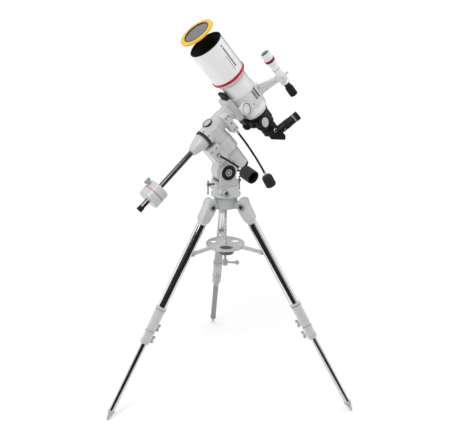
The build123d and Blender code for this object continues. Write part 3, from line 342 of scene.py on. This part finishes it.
def slab(outline, low, high, bevel=0.0, steps=2):
    """Prism of an outline in X and Y, with its edges rounded."""
    bm = bmesh.new()
    bottom = [bm.verts.new((x, y, low)) for x, y in outline]
    top = [bm.verts.new((x, y, high)) for x, y in outline]
    bm.faces.new(bottom[::-1])
    bm.faces.new(top)
    for i in range(len(outline)):
        j = (i + 1) % len(outline)
        bm.faces.new((bottom[i], bottom[j], top[j], top[i]))
    if bevel:
        bmesh.ops.bevel(bm, geom=bm.edges[:], offset=bevel, segments=steps, affect="EDGES", profile=0.5)
    bmesh.ops.recalc_face_normals(bm, faces=bm.faces)
    return bm


def soft_box(low, high, bevel):
    outline = [(low[0], low[1]), (high[0], low[1]), (high[0], high[1]), (low[0], high[1])]
    return slab(outline, low[2], high[2], bevel)


def bar(radius, low, high, edge=0.5, segments=32):
    """Round bar about Z with softened ends."""
    return turned([(0, low), (radius, low), (radius, high), (0, high)], edge, segments)


def sleeve(outer, inner, low, high, edge=0.4, segments=72):
    return turned([(inner, low), (outer, low), (outer, high), (inner, high)], edge, segments)


def put(bm, matrix):
    bmesh.ops.transform(bm, matrix=matrix, verts=bm.verts)
    return bm


def join(*meshes):
    """One bmesh from several."""
    whole = bmesh.new()
    for bm in meshes:
        data = bpy.data.meshes.new("part")
        bm.to_mesh(data)
        bm.free()
        whole.from_mesh(data)
        bpy.data.meshes.remove(data)
    return whole


def sweep(points, radius, segments, thread):
    """Bar along points, with capped ends; the thread takes every other ring in."""
    bm = bmesh.new()
    points = [Vector(p) for p in points]
    side = None
    rings = []
    for i, p in enumerate(points):
        heading = (points[min(i + 1, len(points) - 1)] - points[max(i - 1, 0)]).normalized()
        if side is None:
            side = heading.orthogonal().normalized()
        side = (side - heading * side.dot(heading)).normalized()
        other = heading.cross(side)
        r = radius - (thread if i % 2 else 0.0)
        ring = []
        for k in range(segments):
            a = 2 * math.pi * k / segments
            ring.append(bm.verts.new(p + (side * math.cos(a) + other * math.sin(a)) * r))
        rings.append(ring)
    for first, second in zip(rings, rings[1:]):
        for k in range(segments):
            n = (k + 1) % segments
            bm.faces.new((first[k], first[n], second[n], second[k]))
    bm.faces.new(rings[0][::-1])
    bm.faces.new(rings[-1])
    bmesh.ops.recalc_face_normals(bm, faces=bm.faces)
    return bm


def piece(name, bm, place, material, body, sharp=38.0):
    """Object from local millimetres, in its material, riding on a body."""
    put(bm, place)
    for edge in bm.edges:
        if len(edge.link_faces) == 2 and edge.calc_face_angle(0) > math.radians(sharp):
            edge.smooth = False
    for face in bm.faces:
        face.smooth = True
    data = bpy.data.meshes.new(name)
    bm.to_mesh(data)
    bm.free()
    data.materials.append(material)
    obj = bpy.data.objects.new(name, data)
    bpy.context.scene.collection.objects.link(obj)
    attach(obj, body)
    return obj


def slotted_screw(radius, height):
    """Cap-head screw with a socket, standing on Z = 0."""
    return turned([(0, -0.6), (radius, -0.6), (radius, height), (radius * 0.5, height),
                   (radius * 0.45, height * 0.45), (0, height * 0.45)], radius * 0.15, 24)


# ---------------------------------------------------------------- tripod pieces
def rounded(corners, radius, steps=6):
    """Outline with its corners rounded."""
    result = []
    for i, corner in enumerate(corners):
        here = Vector(corner)
        before, after = Vector(corners[i - 1]) - here, Vector(corners[(i + 1) % len(corners)]) - here
        result += corner_arc(before, here, after, radius, 0.48, steps)
    return result


def fork_shell():
    """Head of the leg casting in the hub's frame: two rounded cheeks and a bridge behind the slot."""
    outline = rounded([(58, 781), (86, 781), (91.5, 758), (121, 705), (92, 687), (57, 733)], 13)
    flat = turn(90, "X")
    cheeks = [put(slab(outline, side * 14.9 - 3.4, side * 14.9 + 3.4, 1.6, 3), flat) for side in (-1, 1)]
    bridge = rounded([(59, 780), (85.4, 780), (90.8, 757.6), (120, 705.2), (92.5, 688), (76, 716),
                      (84, 738), (84, 766), (59, 766)], 12.5)
    return join(*cheeks, put(slab(bridge, -13.0, 13.0, 1.0), flat))


heads, washers, groove_shade = [], [], []
for leg, hub, letter in LEGS:
    shell = put(fork_shell(), hub)
    neck = soft_profile([(0, 790.0), (16.3, 790.0), (16.3, 806.0), (17.6, 806.4), (17.2, 826.0),
                         (0, 836.0)], 1.2)
    casting = piece("fork_" + letter, join(shell, put(lathe(neck, 64), leg)), ROW, enamel, "leg_" + letter)
    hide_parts("leg_casting_" + letter)
    for side in (-1, 1):
        lie = at(PIVOT_OUT, 0, PIVOT_UP) @ turn(-90 * side, "X")
        boss = turned([(13.4, 17.6), (17.4, 17.6), (17.0, 20.4), (14.0, 20.9), (13.4, 19.6)], 0.7, 64)
        washers.append(put(turned([(6.0, 17.9), (11.8, 17.9), (11.8, 19.8), (10.8, 20.8), (6.0, 20.8)],
                                  0.5, 48), hub @ lie))
        groove_shade.append(put(sleeve(13.9, 11.4, 17.9, 18.5, 0.2, 48), hub @ lie))
        piece(f"hinge_boss_{letter}{'ab'[side > 0]}", boss, hub @ lie, enamel, "leg_" + letter)
        head = turned([(0, 22.6), (2.8, 22.6), (3.0, 24.2), (5.2, 24.4), (5.8, 23.4), (6.3, 19.4),
                       (6.3, 18.4), (0, 18.4)], 0.4, 36)
        heads.append(put(head, hub @ lie))
piece("hinge_bolt_caps", join(*heads), ROW, dark_steel, "tripod_hub")
piece("hinge_washers", join(*washers), ROW, pearl, "tripod_hub")
# Dark rings in the grooves between the hinge washers and bosses: painted shade.
piece("hinge_groove_shade", join(*groove_shade), ROW, dark_steel, "tripod_hub")

ROD_LOW, ROD_HIGH, THREAD_STEP = 497.0, 736.0, 0.75
rod_points = [(0, 0, ROD_LOW + THREAD_STEP * i) for i in range(int((ROD_HIGH - ROD_LOW) / THREAD_STEP))]
rod = piece("threaded_rod", sweep(rod_points, 5.0, 24, thread=0.55), CENTRE, steel, "tripod_hub", sharp=20)
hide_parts("centre_rod")

for leg, hub, letter in LEGS:
    grips = []
    for along in (340.0, 388.0):
        for end in (-1, 1):
            grips.append(put(soft_box((-3.0, 24.2, 3.6), (3.0, 35.6, 15.0), 1.6),
                             at(0, 0, along) @ Matrix.Diagonal((1, 1, end, 1))))
        grips.append(put(sleeve(5.6, 2.4, 20.2, 23.2, 0.5, 32), at(0, 0, along) @ turn(-90, "X")))
    piece("wing_screw_grips_" + letter, join(*grips), leg, pearl, "leg_" + letter)
    bands = [sleeve(19.4, 16.0, 361.0, 368.0, 0.9), sleeve(18.8, 11.5, 326.0, 331.0, 0.9)]
    piece("clamp_bands_" + letter, join(*bands), leg, enamel, "leg_" + letter)
    # Dark grey rings where the clamp bands and rim meet the clamp: painted shade in these creases.
    seams = [sleeve(17.9, 16.0, 368.6, 370.0, 0.3), sleeve(20.35, 18.0, 455.4, 456.6, 0.3)]
    piece("clamp_seam_shade_" + letter, join(*seams), leg, grey_ink, "leg_" + letter)
    piece("clamp_rim_" + letter, join(sleeve(20.9, 18.05, 458.0, 467.0, 0.8),
                                      sleeve(17.4, 11.5, 316.4, 321.0, 0.6)), leg, enamel,
          "leg_" + letter)

washer = sleeve(12.0, 4.3, 543.6, 545.9, 0.5, 40)
piece("tray_washer", washer, CENTRE, bright, "tray")

BALL, BALL_STEPS = 9.0, 24
ball = [(BALL * math.sin(math.pi * i / BALL_STEPS), -BALL * math.cos(math.pi * i / BALL_STEPS))
        for i in range(BALL_STEPS + 1)]
nut = [(4.3, 499.0), (9.0, 499.0), (11.0, 502.0), (11.0, 518.0), (9.0, 521.0), (4.3, 521.0)]
lever = join(turned(nut, 0.8, ribs=12, rib_depth=0.9, rib_low=503, rib_high=517),
             put(bar(4.2, 8.0, 44.0), at(0, 0, 511.5) @ facing((0.996, -0.087, -0.02))),
             put(lathe(ball, 48), at(46, -4, 511)))
handle = piece("lever_handle", lever, CENTRE, pearl, "tray_lever")
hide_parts("tray_lever")
# Grey sleeve under the tray's wide hole: painted shade for the hole's inside.
well_way = direction(FIRST_LEG + 180, 0) * 42.0
piece("tray_hole_shade_well", put(sleeve(28.0, 25.7, 567.0, 583.5, 0.5, 96), at(well_way.x, well_way.y, 0)),
      CENTRE, grey_ink, "tray")

# ---------------------------------------------------------------- mount pieces
pivot = at(8.4, 0, 880.0)
rings, faces = [], []
for side in (-1, 1):
    lie = pivot @ turn(-90 * side, "X")
    rings.append(put(turned([(13.5, 38.6), (16.2, 38.6), (17.5, 39.6), (26.6, 39.6), (28.6, 37.0),
                             (28.6, 35.0), (13.5, 35.0)], 0.8, 96), lie))
    faces.append(put(turned([(0, 38.4), (6.0, 38.4), (6.6, 37.9), (9.0, 37.9), (9.6, 38.7), (13.4, 38.7),
                             (13.4, 36.0), (0, 36.0)], 0.35, 64), lie))
piece("altitude_cap_rings", join(*rings), BASE, rubber, "azimuth_base")
grooves = [put(sleeve(9.5, 6.3, 36.5, 38.15, 0.2, 64), pivot @ turn(-90 * side, "X")) for side in (-1, 1)]
piece("altitude_cap_grooves", join(*grooves), BASE, rubber, "azimuth_base")
centres = [put(sleeve(6.4, 2.4, 61.5, 64.2, 0.4, 48),
               at(31.5, 0, 811.0) @ turn(-90 * side, "X")) for side in (-1, 1)]
piece("azimuth_knob_sockets", join(*centres), BASE, dark_steel, "azimuth_knobs")
piece("altitude_cap_faces", join(*faces), BASE, pearl, "azimuth_base")

dial = turned([(15.2, -52.6), (32.4, -52.6), (33.9, -51.4), (33.9, -41.6), (30.5, -41.6), (15.2, -43.4)],
              0.5, 120)
piece("declination_dial", dial, DEC, black_metal, "ra_body")
ticks = []
for i in range(72):
    tall = 4.6 if i % 6 == 0 else 2.6
    tick = soft_box((33.5, -0.2, -51.0), (34.0, 0.2, -51.0 + tall), 0.06)
    ticks.append(put(tick, turn(i * 5.0, "Z")))
piece("declination_graduations", join(*ticks), DEC, pale_ink, "ra_body")


def knob(length, radius, ribs):
    """Ribbed cup with a sleeve in its mouth."""
    cup = [(0, 0.4), (radius * 0.55, 0.4), (radius * 0.86, 5), (radius * 0.96, 9), (radius, 14),
           (radius, length * 0.5), (radius, length - 2), (radius - 1.2, length), (radius - 2.4, length),
           (radius - 3, length - 3), (radius - 3.4, 24), (0, 24)]
    return turned(cup, 1.2, ribs=ribs, rib_depth=1.3, rib_low=10, rib_high=length - 1)


FERRULE = 18.0


def drive_end(start, bend, reach, degrees):
    """Point and heading at the far end of a drive shaft that bends from one direction towards another."""
    heading, to = bend
    a = math.radians(degrees)
    bow = reach / a
    last = heading * math.cos(a) + to * math.sin(a)
    first = start + heading * FERRULE
    middle = first + heading * (bow * math.sin(a)) + to * (bow * (1 - math.cos(a)))
    return middle + last * FERRULE, last


# Frame, start, bend, bowed length and its angle, then the knob's radius and length, and the body.
DRIVES = {
    "ra": (POLAR, Vector((36.3, -51.0, -73.0)), (Vector((1, 0, 0)), Vector((0, 0, -1))),
           118.0, 18.0, 24.0, 58.0, "polar_body"),
    "dec": (DEC, Vector((-50.0, 42.0, 55.0)), (Vector((-1, 0, 0)), Vector((0, 0, -1))),
            194.0, 9.0, 20.5, 48.0, "ra_body"),
}
for label, (place, start, bend, reach, degrees, radius, length, body) in DRIVES.items():
    end, last = drive_end(start, bend, reach, degrees)
    near = place @ Matrix.Translation(start) @ facing(bend[0])
    far = place @ Matrix.Translation(end) @ facing(last)
    collar = [(0, -1.0), (6.3, -1.0), (6.3, 3.6), (5.6, 4.4), (5.6, 15.0), (5.0, 17.5), (4.2, 18.5),
              (0, 18.5)]
    tip = [(0, -19.0), (4.2, -19.0), (5.0, -18.0), (5.6, -15.5), (5.6, 0.0), (0, 0.0)]
    piece(label + "_drive_ferrules", join(put(turned(collar, 0.4, 40), near),
                                          put(turned(tip, 0.4, 40), far)), ROW, bright, body)
    grip = piece(label + "_hand_knob", knob(length, radius, 26), far, grey_plastic, label + "_knob")
    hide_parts(label + "_knob")
    core = turned([(0, 23.8), (radius - 10, 23.8), (radius - 10.5, length - 24),
                   (radius - 12.5, length - 22), (radius - 13.5, length - 27), (0, length - 27)], 0.8, 48)
    piece(label + "_knob_core", core, far, grey_plastic, label + "_knob")

screws = []
for x, y, z in ((-38, 53.0, 60), (-38, 53.0, 48), (18, 53.0, 60), (18, 53.0, 48), (-10, 53.0, 54)):
    screws.append(put(slotted_screw(2.6, 1.4), at(x, y, z) @ facing((0, 1, 0))))
for a in (20, 62):
    radial = Vector((math.sin(math.radians(a)), math.cos(math.radians(a)), 0))
    screws.append(put(slotted_screw(2.4, 1.2), at(radial.x * 33.0, radial.y * 33.0, -36) @ facing(radial)))
piece("declination_screws", join(*screws), DEC, dark_steel, "ra_body")
screws = []
for z in (-100, -46):
    for y in (-62, -40):
        screws.append(put(slotted_screw(2.4, 1.2), at(36.0, y, z) @ facing((1, 0, 0))))
piece("worm_box_screws", join(*screws), POLAR, dark_steel, "polar_body")

# Pale grey lines at the housing's joins: painted shade in the joins.
lines = [sleeve(39.9, 38.0, -103.6, -102.2, 0.3, 96), sleeve(31.6, 30.0, -145.0, -143.2, 0.3, 96)]
piece("polar_seam_shade", join(*lines), POLAR, pale_ink, "polar_body")
plate = slab([(-23, -0.6), (23, -0.6), (23, 0.6), (-23, 0.6)], 0, 1.0, 0.3)
piece("polar_slot_mark", put(plate, at(24.0, -19.9, -160.0) @ facing((0.77, -0.64, 0), (0, 1, 0))), POLAR,
      grey_ink, "polar_body")

cap_rim = turned([(16.8, 36.4), (19.9, 36.4), (19.9, 30.0), (17.6, 30.0), (17.2, 35.0), (16.8, 35.2)],
                 0.4, 96)
piece("polar_cap_rim", cap_rim, POLAR, dark_steel, "ra_body")

band = sleeve(41.25, 39.5, -321.4, -318.6, 0.3, 128)
piece("counterweight_band", band, DEC, crimson, "counterweight")

# ---------------------------------------------------------------- optical tube pieces
ridges = [(61.95, 121.5), (61.95, 243.2)]
for i in range(40):
    ridges += [(60.9, 243.0 - 3.0 * i), (61.5, 241.4 - 3.0 * i)]
piece("dew_shield_lining", lathe(ridges, 128), TUBE, flocking, "dec_body")
lip = [(59.8, 242.0), (61.95, 242.0), (61.98, 249.0), (63.9, 250.65), (64.2, 250.65), (64.2, 251.0),
       (63.8, 251.3), (61.0, 251.3), (59.8, 250.2)]
piece("dew_shield_lip", turned(lip, 0.5, 160), TUBE, rubber, "dec_body")
band = [(60.6, 101.0), (64.8, 101.0), (66.9, 103.0), (66.9, 109.6), (65.4, 112.0), (60.6, 112.0)]
piece("accent_band", turned(band, 0.8, 160), TUBE, crimson, "dec_body")
baffle = [(50.0, 121.3), (60.8, 121.3), (60.8, 123.0), (52.5, 124.2), (50.0, 123.2)]
piece("lens_retainer", turned(baffle, 0.4, 128), TUBE, inner_black, "dec_body")

seam = [sleeve(53.35, 52.6, 86.8, 88.2, 0.2, 128), sleeve(57.4, 56.2, 95.0, 96.6, 0.3, 128)]
piece("tube_seams", join(*seam), TUBE, tube_white, "dec_body")
# Pale grey lines at the lens cell's joins: painted shade in the joins.
piece("cell_seam_shade", join(sleeve(57.4, 56.0, 89.2, 90.4, 0.2, 128),
                         sleeve(53.3, 52.6, 81.6, 82.6, 0.2, 128)), TUBE, pale_ink, "dec_body")

# The stop on the end of the counterweight shaft.
end_cap = [(0, -388.2), (0, -399.5), (11.8, -399.5), (12.6, -398.4), (12.6, -397.0), (10.9, -395.2),
           (10.9, -382.6), (10.05, -382.6), (10.05, -388.2)]
stop = piece("shaft_stop", turned(end_cap, 0.5, 64), DEC, rubber, "ra_body")
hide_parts("shaft_end_cap")


def curved_plate(radius, thick, along, width, height, angle, columns=24):
    """Thin plate wrapped round the tube; its width runs round and its height along."""
    bm = bmesh.new()
    half = width / 2 / radius
    rows = []
    for i in range(columns + 1):
        a = math.radians(angle) - half + 2 * half * i / columns
        ring = []
        for r, z in ((radius, along - height / 2), (radius + thick, along - height / 2),
                     (radius + thick, along + height / 2), (radius, along + height / 2)):
            ring.append(bm.verts.new((r * math.cos(a), r * math.sin(a), z)))
        rows.append(ring)
    for first, second in zip(rows, rows[1:]):
        for k in range(4):
            n = (k + 1) % 4
            bm.faces.new((first[k], first[n], second[n], second[k]))
    bm.faces.new(rows[0][::-1])
    bm.faces.new(rows[-1])
    bmesh.ops.recalc_face_normals(bm, faces=bm.faces)
    return bm


def shield_mark(along, width, height, angle):
    """Bar of ink on the dew shield."""
    return curved_plate(64.0, 0.22, along, width, height, angle)


LABEL_ANGLE = -72.0
marks = [shield_mark(231.0, 7.0, 7.0, LABEL_ANGLE)]
marks += [shield_mark(219.0 - 8.6 * i, 7.6, 6.4, LABEL_ANGLE) for i in range(10)]
marks += [shield_mark(190.0 - 4.2 * i, 2.4, 3.0, LABEL_ANGLE - 9.5) for i in range(15)]
piece("shield_marks", join(*marks), TUBE, grey_ink, "dec_body")
piece("ring_label_plate", curved_plate(56.9, 0.5, -1.0, 27.0, 46.0, LABEL_ANGLE), TUBE, white_ink,
      "dec_body")
piece("ring_label_stripe", curved_plate(57.3, 0.4, -1.0, 7.0, 44.0, LABEL_ANGLE + 8), TUBE, inner_black,
      "dec_body")
label_bars = [curved_plate(57.3, 0.35, -1.0, 3.0, 41.0, LABEL_ANGLE + a) for a in (-9.5, -5.5, -1.5)]
piece("ring_label_bars", join(*label_bars), TUBE, grey_ink, "dec_body")
piece("ring_edge_beads", join(sleeve(57.9, 56.0, 24.6, 28.3, 0.8, 128),
                              sleeve(57.9, 56.0, -38.3, -34.6, 0.8, 128)), TUBE, ring_white, "dec_body")
piece("ring_screw", put(slotted_screw(2.2, 1.0), at(-11, -56, -25) @ facing((-0.19, -0.98, 0))), TUBE,
      dark_steel, "dec_body")

knob_place = TUBE @ at(-52.5, -59.0, -8.0) @ facing((0.342, -0.94, 0))
face = [(0, 9.0), (4.0, 9.0), (5.0, 8.4), (18.6, 8.4), (19.4, 9.4), (20.6, 9.8), (20.6, 7.0), (0, 7.0)]
piece("ring_knob_face", turned(face, 0.5, 96), knob_place, ring_white, "ring_knob")
# Dark ring between the knob's face and rim: painted shade in the groove.
piece("ring_knob_groove_shade", sleeve(21.4, 19.2, 8.6, 11.0, 0.3, 96), knob_place, dark_steel, "ring_knob")
rim = [(19.8, 8.6), (20.8, 10.6), (22.8, 10.8), (24.0, 9.0), (24.0, 3.0), (22.0, 0.5), (0, 0.5), (0, 7.5),
       (19.8, 7.5)]
closed = piece("ring_knob_rim", turned(rim, 0.6, 96), knob_place, ring_white, "ring_knob")
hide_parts("ring_knob")

# ---------------------------------------------------------------- focuser pieces
PINION = at(-37.0, 0, -111.0)
wheels = []
for side in (-1, 1):
    lie = PINION @ turn(-90 * side, "X")
    wheel = [(0, 35.8), (9, 35.8), (10.5, 37.5), (19.5, 38.0), (21.6, 39.2), (22.0, 41.0), (22.0, 47.0),
             (21.0, 48.8), (19.4, 49.2), (18.4, 48.2), (0, 48.2)]
    wheels.append(put(turned(wheel, 0.5, ribs=40, rib_depth=0.8, rib_low=39.5, rib_high=48.5), lie))
wheels.append(put(bar(5.0, -36.0, 36.0), PINION @ turn(-90, "X")))
turned_wheels = piece("focus_wheels", join(*wheels), FOCUSER, black_plastic, "focus_knobs")
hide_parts("focus_knobs")
discs = []
for side in (-1, 1):
    lie = PINION @ turn(-90 * side, "X")
    face = [(0, 49.0), (5, 49.0), (6, 48.6), (17.0, 48.9), (18.3, 48.4), (18.3, 46), (0, 46)]
    discs.append(put(turned(face, 0.3, 96), lie))
piece("focus_wheel_faces", join(*discs), FOCUSER, pearl, "focus_knobs")
piece("focuser_rail_strip", soft_box((44.0, -3.4, -150.0), (45.2, 3.4, -102.0), 0.5), FOCUSER, bright,
      "dec_body")
ribs = [sleeve(35.9, 34.4, z, z + 1.6, 0.4, 120) for z in (-149, -145, -141)]
ribs += [sleeve(43.0, 41.0, -93.6, -91.0, 0.5, 120)]
piece("focuser_ribs", join(*ribs), FOCUSER, black_metal, "dec_body")
screws = []
for a in (60, 150, 240, 330):
    radial = direction(a, 0)
    screws.append(put(slotted_screw(1.9, 1.1), at(radial.x * 42.5, radial.y * 42.5,
                                                  -87.6) @ facing(radial)))
for x, y in ((-30, 24.0), (-44, 24.0)):
    screws.append(put(slotted_screw(1.8, 1.0), at(x, y, -118) @ facing((0, 1, 0))))
    screws.append(put(slotted_screw(1.8, 1.0), at(x, -y, -118) @ facing((0, -1, 0))))
piece("focuser_screws", join(*screws), FOCUSER, steel, "dec_body")
tension = turned([(0, 0.4), (5.4, 0.4), (6.4, 1.6), (6.4, 8.4), (5.6, 10.4), (0, 10.4)], 0.6, ribs=18,
                 rib_depth=0.7, rib_low=1.8, rib_high=9.0)
piece("focuser_tension_knob", put(tension, at(-47.0, 0, -111.0) @ facing((-1, 0, 0))), FOCUSER, rubber,
      "dec_body")

collar = [sleeve(30.5, 29.0, -190.0, -187.6, 0.4, 96), sleeve(30.5, 29.0, -173.0, -169.0, 0.5, 96)]
piece("drawtube_collar_ribs", join(*collar), TUBE, black_metal, "drawtube")

ELBOW = -210.6
holder = put(join(sleeve(18.1, 15.95, 41.0, 48.2, 0.5, 80), sleeve(17.9, 16.8, 22.0, 25.0, 0.5, 80)),
             at(0, 0, ELBOW) @ turn(90, "Y"))
piece("diagonal_collar", holder, DIAGONAL, black_metal, "diagonal")
plate = slab([(-13.5, -24.0), (13.5, -24.0), (13.5, 24.0), (-13.5, 24.0)], 0, 1.8, 0.6)
slope = at(0.2, 0, -229.2) @ facing((-0.707, 0, -0.707), (0, 1, 0)) @ turn(90, "Z")
piece("diagonal_cover", put(plate, slope), DIAGONAL, grey_plastic, "diagonal")
screw = put(slotted_screw(3.4, 5.0), at(44.6, -17.9, ELBOW) @ facing((0, -1, 0)))
piece("holder_screw", screw, DIAGONAL, bright, "diagonal")

EYEPIECE = DIAGONAL @ at(0, 0, ELBOW) @ turn(90, "Y")
cup = turned([(15.7, 103.6), (17.4, 103.6), (17.6, 114.0), (17.0, 118.0), (14.8, 118.0), (13.2, 115.0),
              (13.2, 114.0), (15.7, 113.4)], 0.7, 96)
piece("eyecup", cup, EYEPIECE, rubber, "eyepiece")
piece("eyepiece_lines", join(sleeve(17.1, 16.5, 95.0, 95.9, 0.2, 96),
                             sleeve(17.1, 16.5, 98.0, 98.9, 0.2, 96)), EYEPIECE, white_ink, "eyepiece")
grip = turned([(16.9, 54.0), (18.0, 54.6), (18.0, 70.4), (16.9, 71.0)], 0.3, ribs=36, rib_depth=0.6,
              rib_low=54.5, rib_high=70.6)
piece("eyepiece_grip", grip, EYEPIECE, rubber, "eyepiece")
piece("eye_lens", turned([(0, 115.6), (4, 115.4), (8.6, 114.4), (8.8, 112.0), (0, 112.0)], 0.3, 48),
      EYEPIECE, lens_glass, "eyepiece")

# ---------------------------------------------------------------- finder pieces
piece("finder_red_ring", sleeve(19.0, 17.2, 76.2, 80.2, 0.5, 96), FINDER, crimson, "dec_body")
piece("finder_black_ring", sleeve(19.1, 17.2, 70.8, 76.1, 0.5, 96), FINDER, black_metal, "dec_body")
piece("finder_dark_line", sleeve(15.1, 14.0, 31.4, 32.8, 0.3, 96), FINDER, grey_ink, "dec_body")
front = [(0, 106.2), (6, 105.8), (12, 104.6), (15.1, 103.2), (15.1, 101.2), (0, 101.2)]
piece("finder_front_glass", turned(front, 0.3, 96), FINDER, finder_glass, "dec_body")
piece("finder_front_rim", turned([(15.0, 103.0), (17.9, 103.0), (17.9, 107.2), (16.6, 108.3),
                                  (15.0, 107.8)], 0.5, 96), FINDER, tube_white, "dec_body")
stalk = rounded([(57.5, -31), (57.5, 17), (74, 12), (96, 7), (141, 4), (141, -20), (96, -24), (74, -29)], 5)
piece("finder_stalk_web", put(slab(stalk, -5.0, 5.0, 1.2), turn(90, "X")), FINDER_SIDE, ring_white,
      "dec_body")
grip = turned([(11.0, -96.4), (14.6, -96.4), (15.0, -93.0), (14.7, -61.0), (13.6, -57.6), (11.0, -57.6)],
              0.8, ribs=30, rib_depth=0.6, rib_low=-92.6, rib_high=-61.5)
piece("finder_eye_grip", grip, FINDER, rubber, "dec_body")
screws = []
for a in (35, 155, 275):
    radial = direction(a, 0)
    stem = turned([(0, -2), (1.8, -2), (1.8, 5), (4.2, 5), (4.6, 6), (4.6, 11), (3.8, 12), (0, 12)], 0.4,
                  32)
    screws.append(put(stem, at(radial.x * 17.5, radial.y * 17.5, -12) @ facing(radial)))
piece("finder_ring_screws", join(*screws), FINDER, enamel, "dec_body")
piece("finder_shoe_screw", put(slotted_screw(4.4, 7.0),
                               FINDER_SIDE @ at(66.0, -9.0, 6.0) @ facing((0, -1, 0))), ROW, bright,
      "dec_body")

# ---------------------------------------------------------------- solar filter pieces
inner_rim = [(46.4, 309.6), (49.6, 309.8), (50.4, 309.2), (50.4, 308.4), (47.4, 307.6), (47.4, 306.0),
             (46.4, 306.0)]
piece("filter_inner_rim", turned(inner_rim, 0.3, 128), TUBE, dark_steel, "solar_filter")
steps = [(46.9, 305.0), (46.9, 308.4), (52.0, 308.6), (52.8, 309.7), (60.0, 309.7), (60.8, 309.1),
         (64.4, 309.1), (65.6, 308.4), (66.2, 306.8), (66.2, 302.4), (64.6, 302.0), (64.5, 305.0)]
stepped = piece("filter_ring_steps", turned(steps, 0.4, 160), TUBE, yellow, "solar_filter")
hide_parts("solar_filter_ring")

# ---------------------------------------------------------------- floor, light and camera
FLOOR = 30


def studio_mesh(name, corners, faces, material):
    data = bpy.data.meshes.new(name)
    data.from_pydata(corners, [], faces)
    data.materials.append(material)
    obj = bpy.data.objects.new(name, data)
    bpy.context.scene.collection.objects.link(obj)
    return obj


floor_material = surface("floor", (0.97, 0.97, 0.97), 0.7, grain=30, bump=0.02, variation=0.01,
                         specular=0.1)
floor_corners = [(-FLOOR, -FLOOR, 0), (FLOOR, -FLOOR, 0), (FLOOR, FLOOR, 0), (-FLOOR, FLOOR, 0)]
floor = studio_mesh("floor", floor_corners, [(0, 1, 2, 3)], floor_material)

world = bpy.data.worlds.new("studio")
world.use_nodes = True
world.node_tree.nodes["Background"].inputs["Color"].default_value = (1, 1, 1, 1)
world.node_tree.nodes["Background"].inputs["Strength"].default_value = 1.10
bpy.context.scene.world = world
bpy.context.scene.view_settings.view_transform = "Standard"


def soft_light(name, place, target, size, watts):
    light = bpy.data.lights.new(name, "AREA")
    light.shape = "RECTANGLE"
    light.size, light.size_y = size
    light.energy = watts
    obj = bpy.data.objects.new(name, light)
    obj.location = place
    obj.rotation_euler = (Vector(target) - Vector(place)).to_track_quat("-Z", "Y").to_euler()
    bpy.context.scene.collection.objects.link(obj)


AIM = (0, 0, 0.9)
soft_light("key", (-1.0, -2.6, 3.0), AIM, (1.6, 1.6), 56)
soft_light("fill", (2.4, -2.0, 2.0), AIM, (2.0, 2.0), 6)


def studio_flag(name, corners, faces, material, shades):
    """Studio flag, seen only in reflections unless it takes light from the object and floor too."""
    obj = studio_mesh(name, corners, faces, material)
    obj.visible_camera = obj.visible_shadow = obj.visible_transmission = False
    obj.visible_diffuse = shades


def curved_flag(name, middle, spread, profile, material=inner_black, shades=False, columns=24):
    """Flag that curves round the object, from (distance, height) points swept through an angle."""
    corners = []
    for i in range(columns + 1):
        way = direction(middle - spread / 2 + spread * i / columns, 0)
        corners += [way * distance + UP * height for distance, height in profile]
    rows = len(profile)
    faces = [(i * rows + k, i * rows + k + 1, (i + 1) * rows + k + 1, (i + 1) * rows + k)
             for i in range(columns) for k in range(rows - 1)]
    studio_flag(name, corners, faces, material, shades)


# Middle and spread, in degrees, of the flags before the object.
FRONT = (-90.0, 146.0)
curved_flag("flag_low", *FRONT, [(0.9, 0.01), (5.0, 0.01)])
curved_flag("flag_front", *FRONT, [(5.0, 0.02), (5.0, 4.6)], shades=True)
curved_flag("flag_high", *FRONT, [(5.0, 4.6), (3.8, 6.6), (2.4, 7.6), (0.2, 8.2)])
curved_flag("flag_under", 90.0, 160.0, [(0.02, 0.012), (0.85, 0.012)], pale_ink)
curved_flag("flag_back", 90.0, 96.0, [(5.0, 0.02), (5.0, 3.4)])

camera = bpy.data.objects.new("camera", bpy.data.cameras.new("camera"))
camera.data.lens = 68.17
camera.data.sensor_width = 36.0
camera.data.sensor_fit = "HORIZONTAL"
camera.data.shift_x = 0.0558
camera.data.shift_y = -0.0023
camera.data.clip_end = 100.0
camera.location = AXIS + Vector((-0.0761, -3.1294, 1.8040))
camera.rotation_euler = (math.radians(90.0 - 19.48), math.radians(-0.14), 0.0)
bpy.context.scene.collection.objects.link(camera)
bpy.context.scene.camera = camera
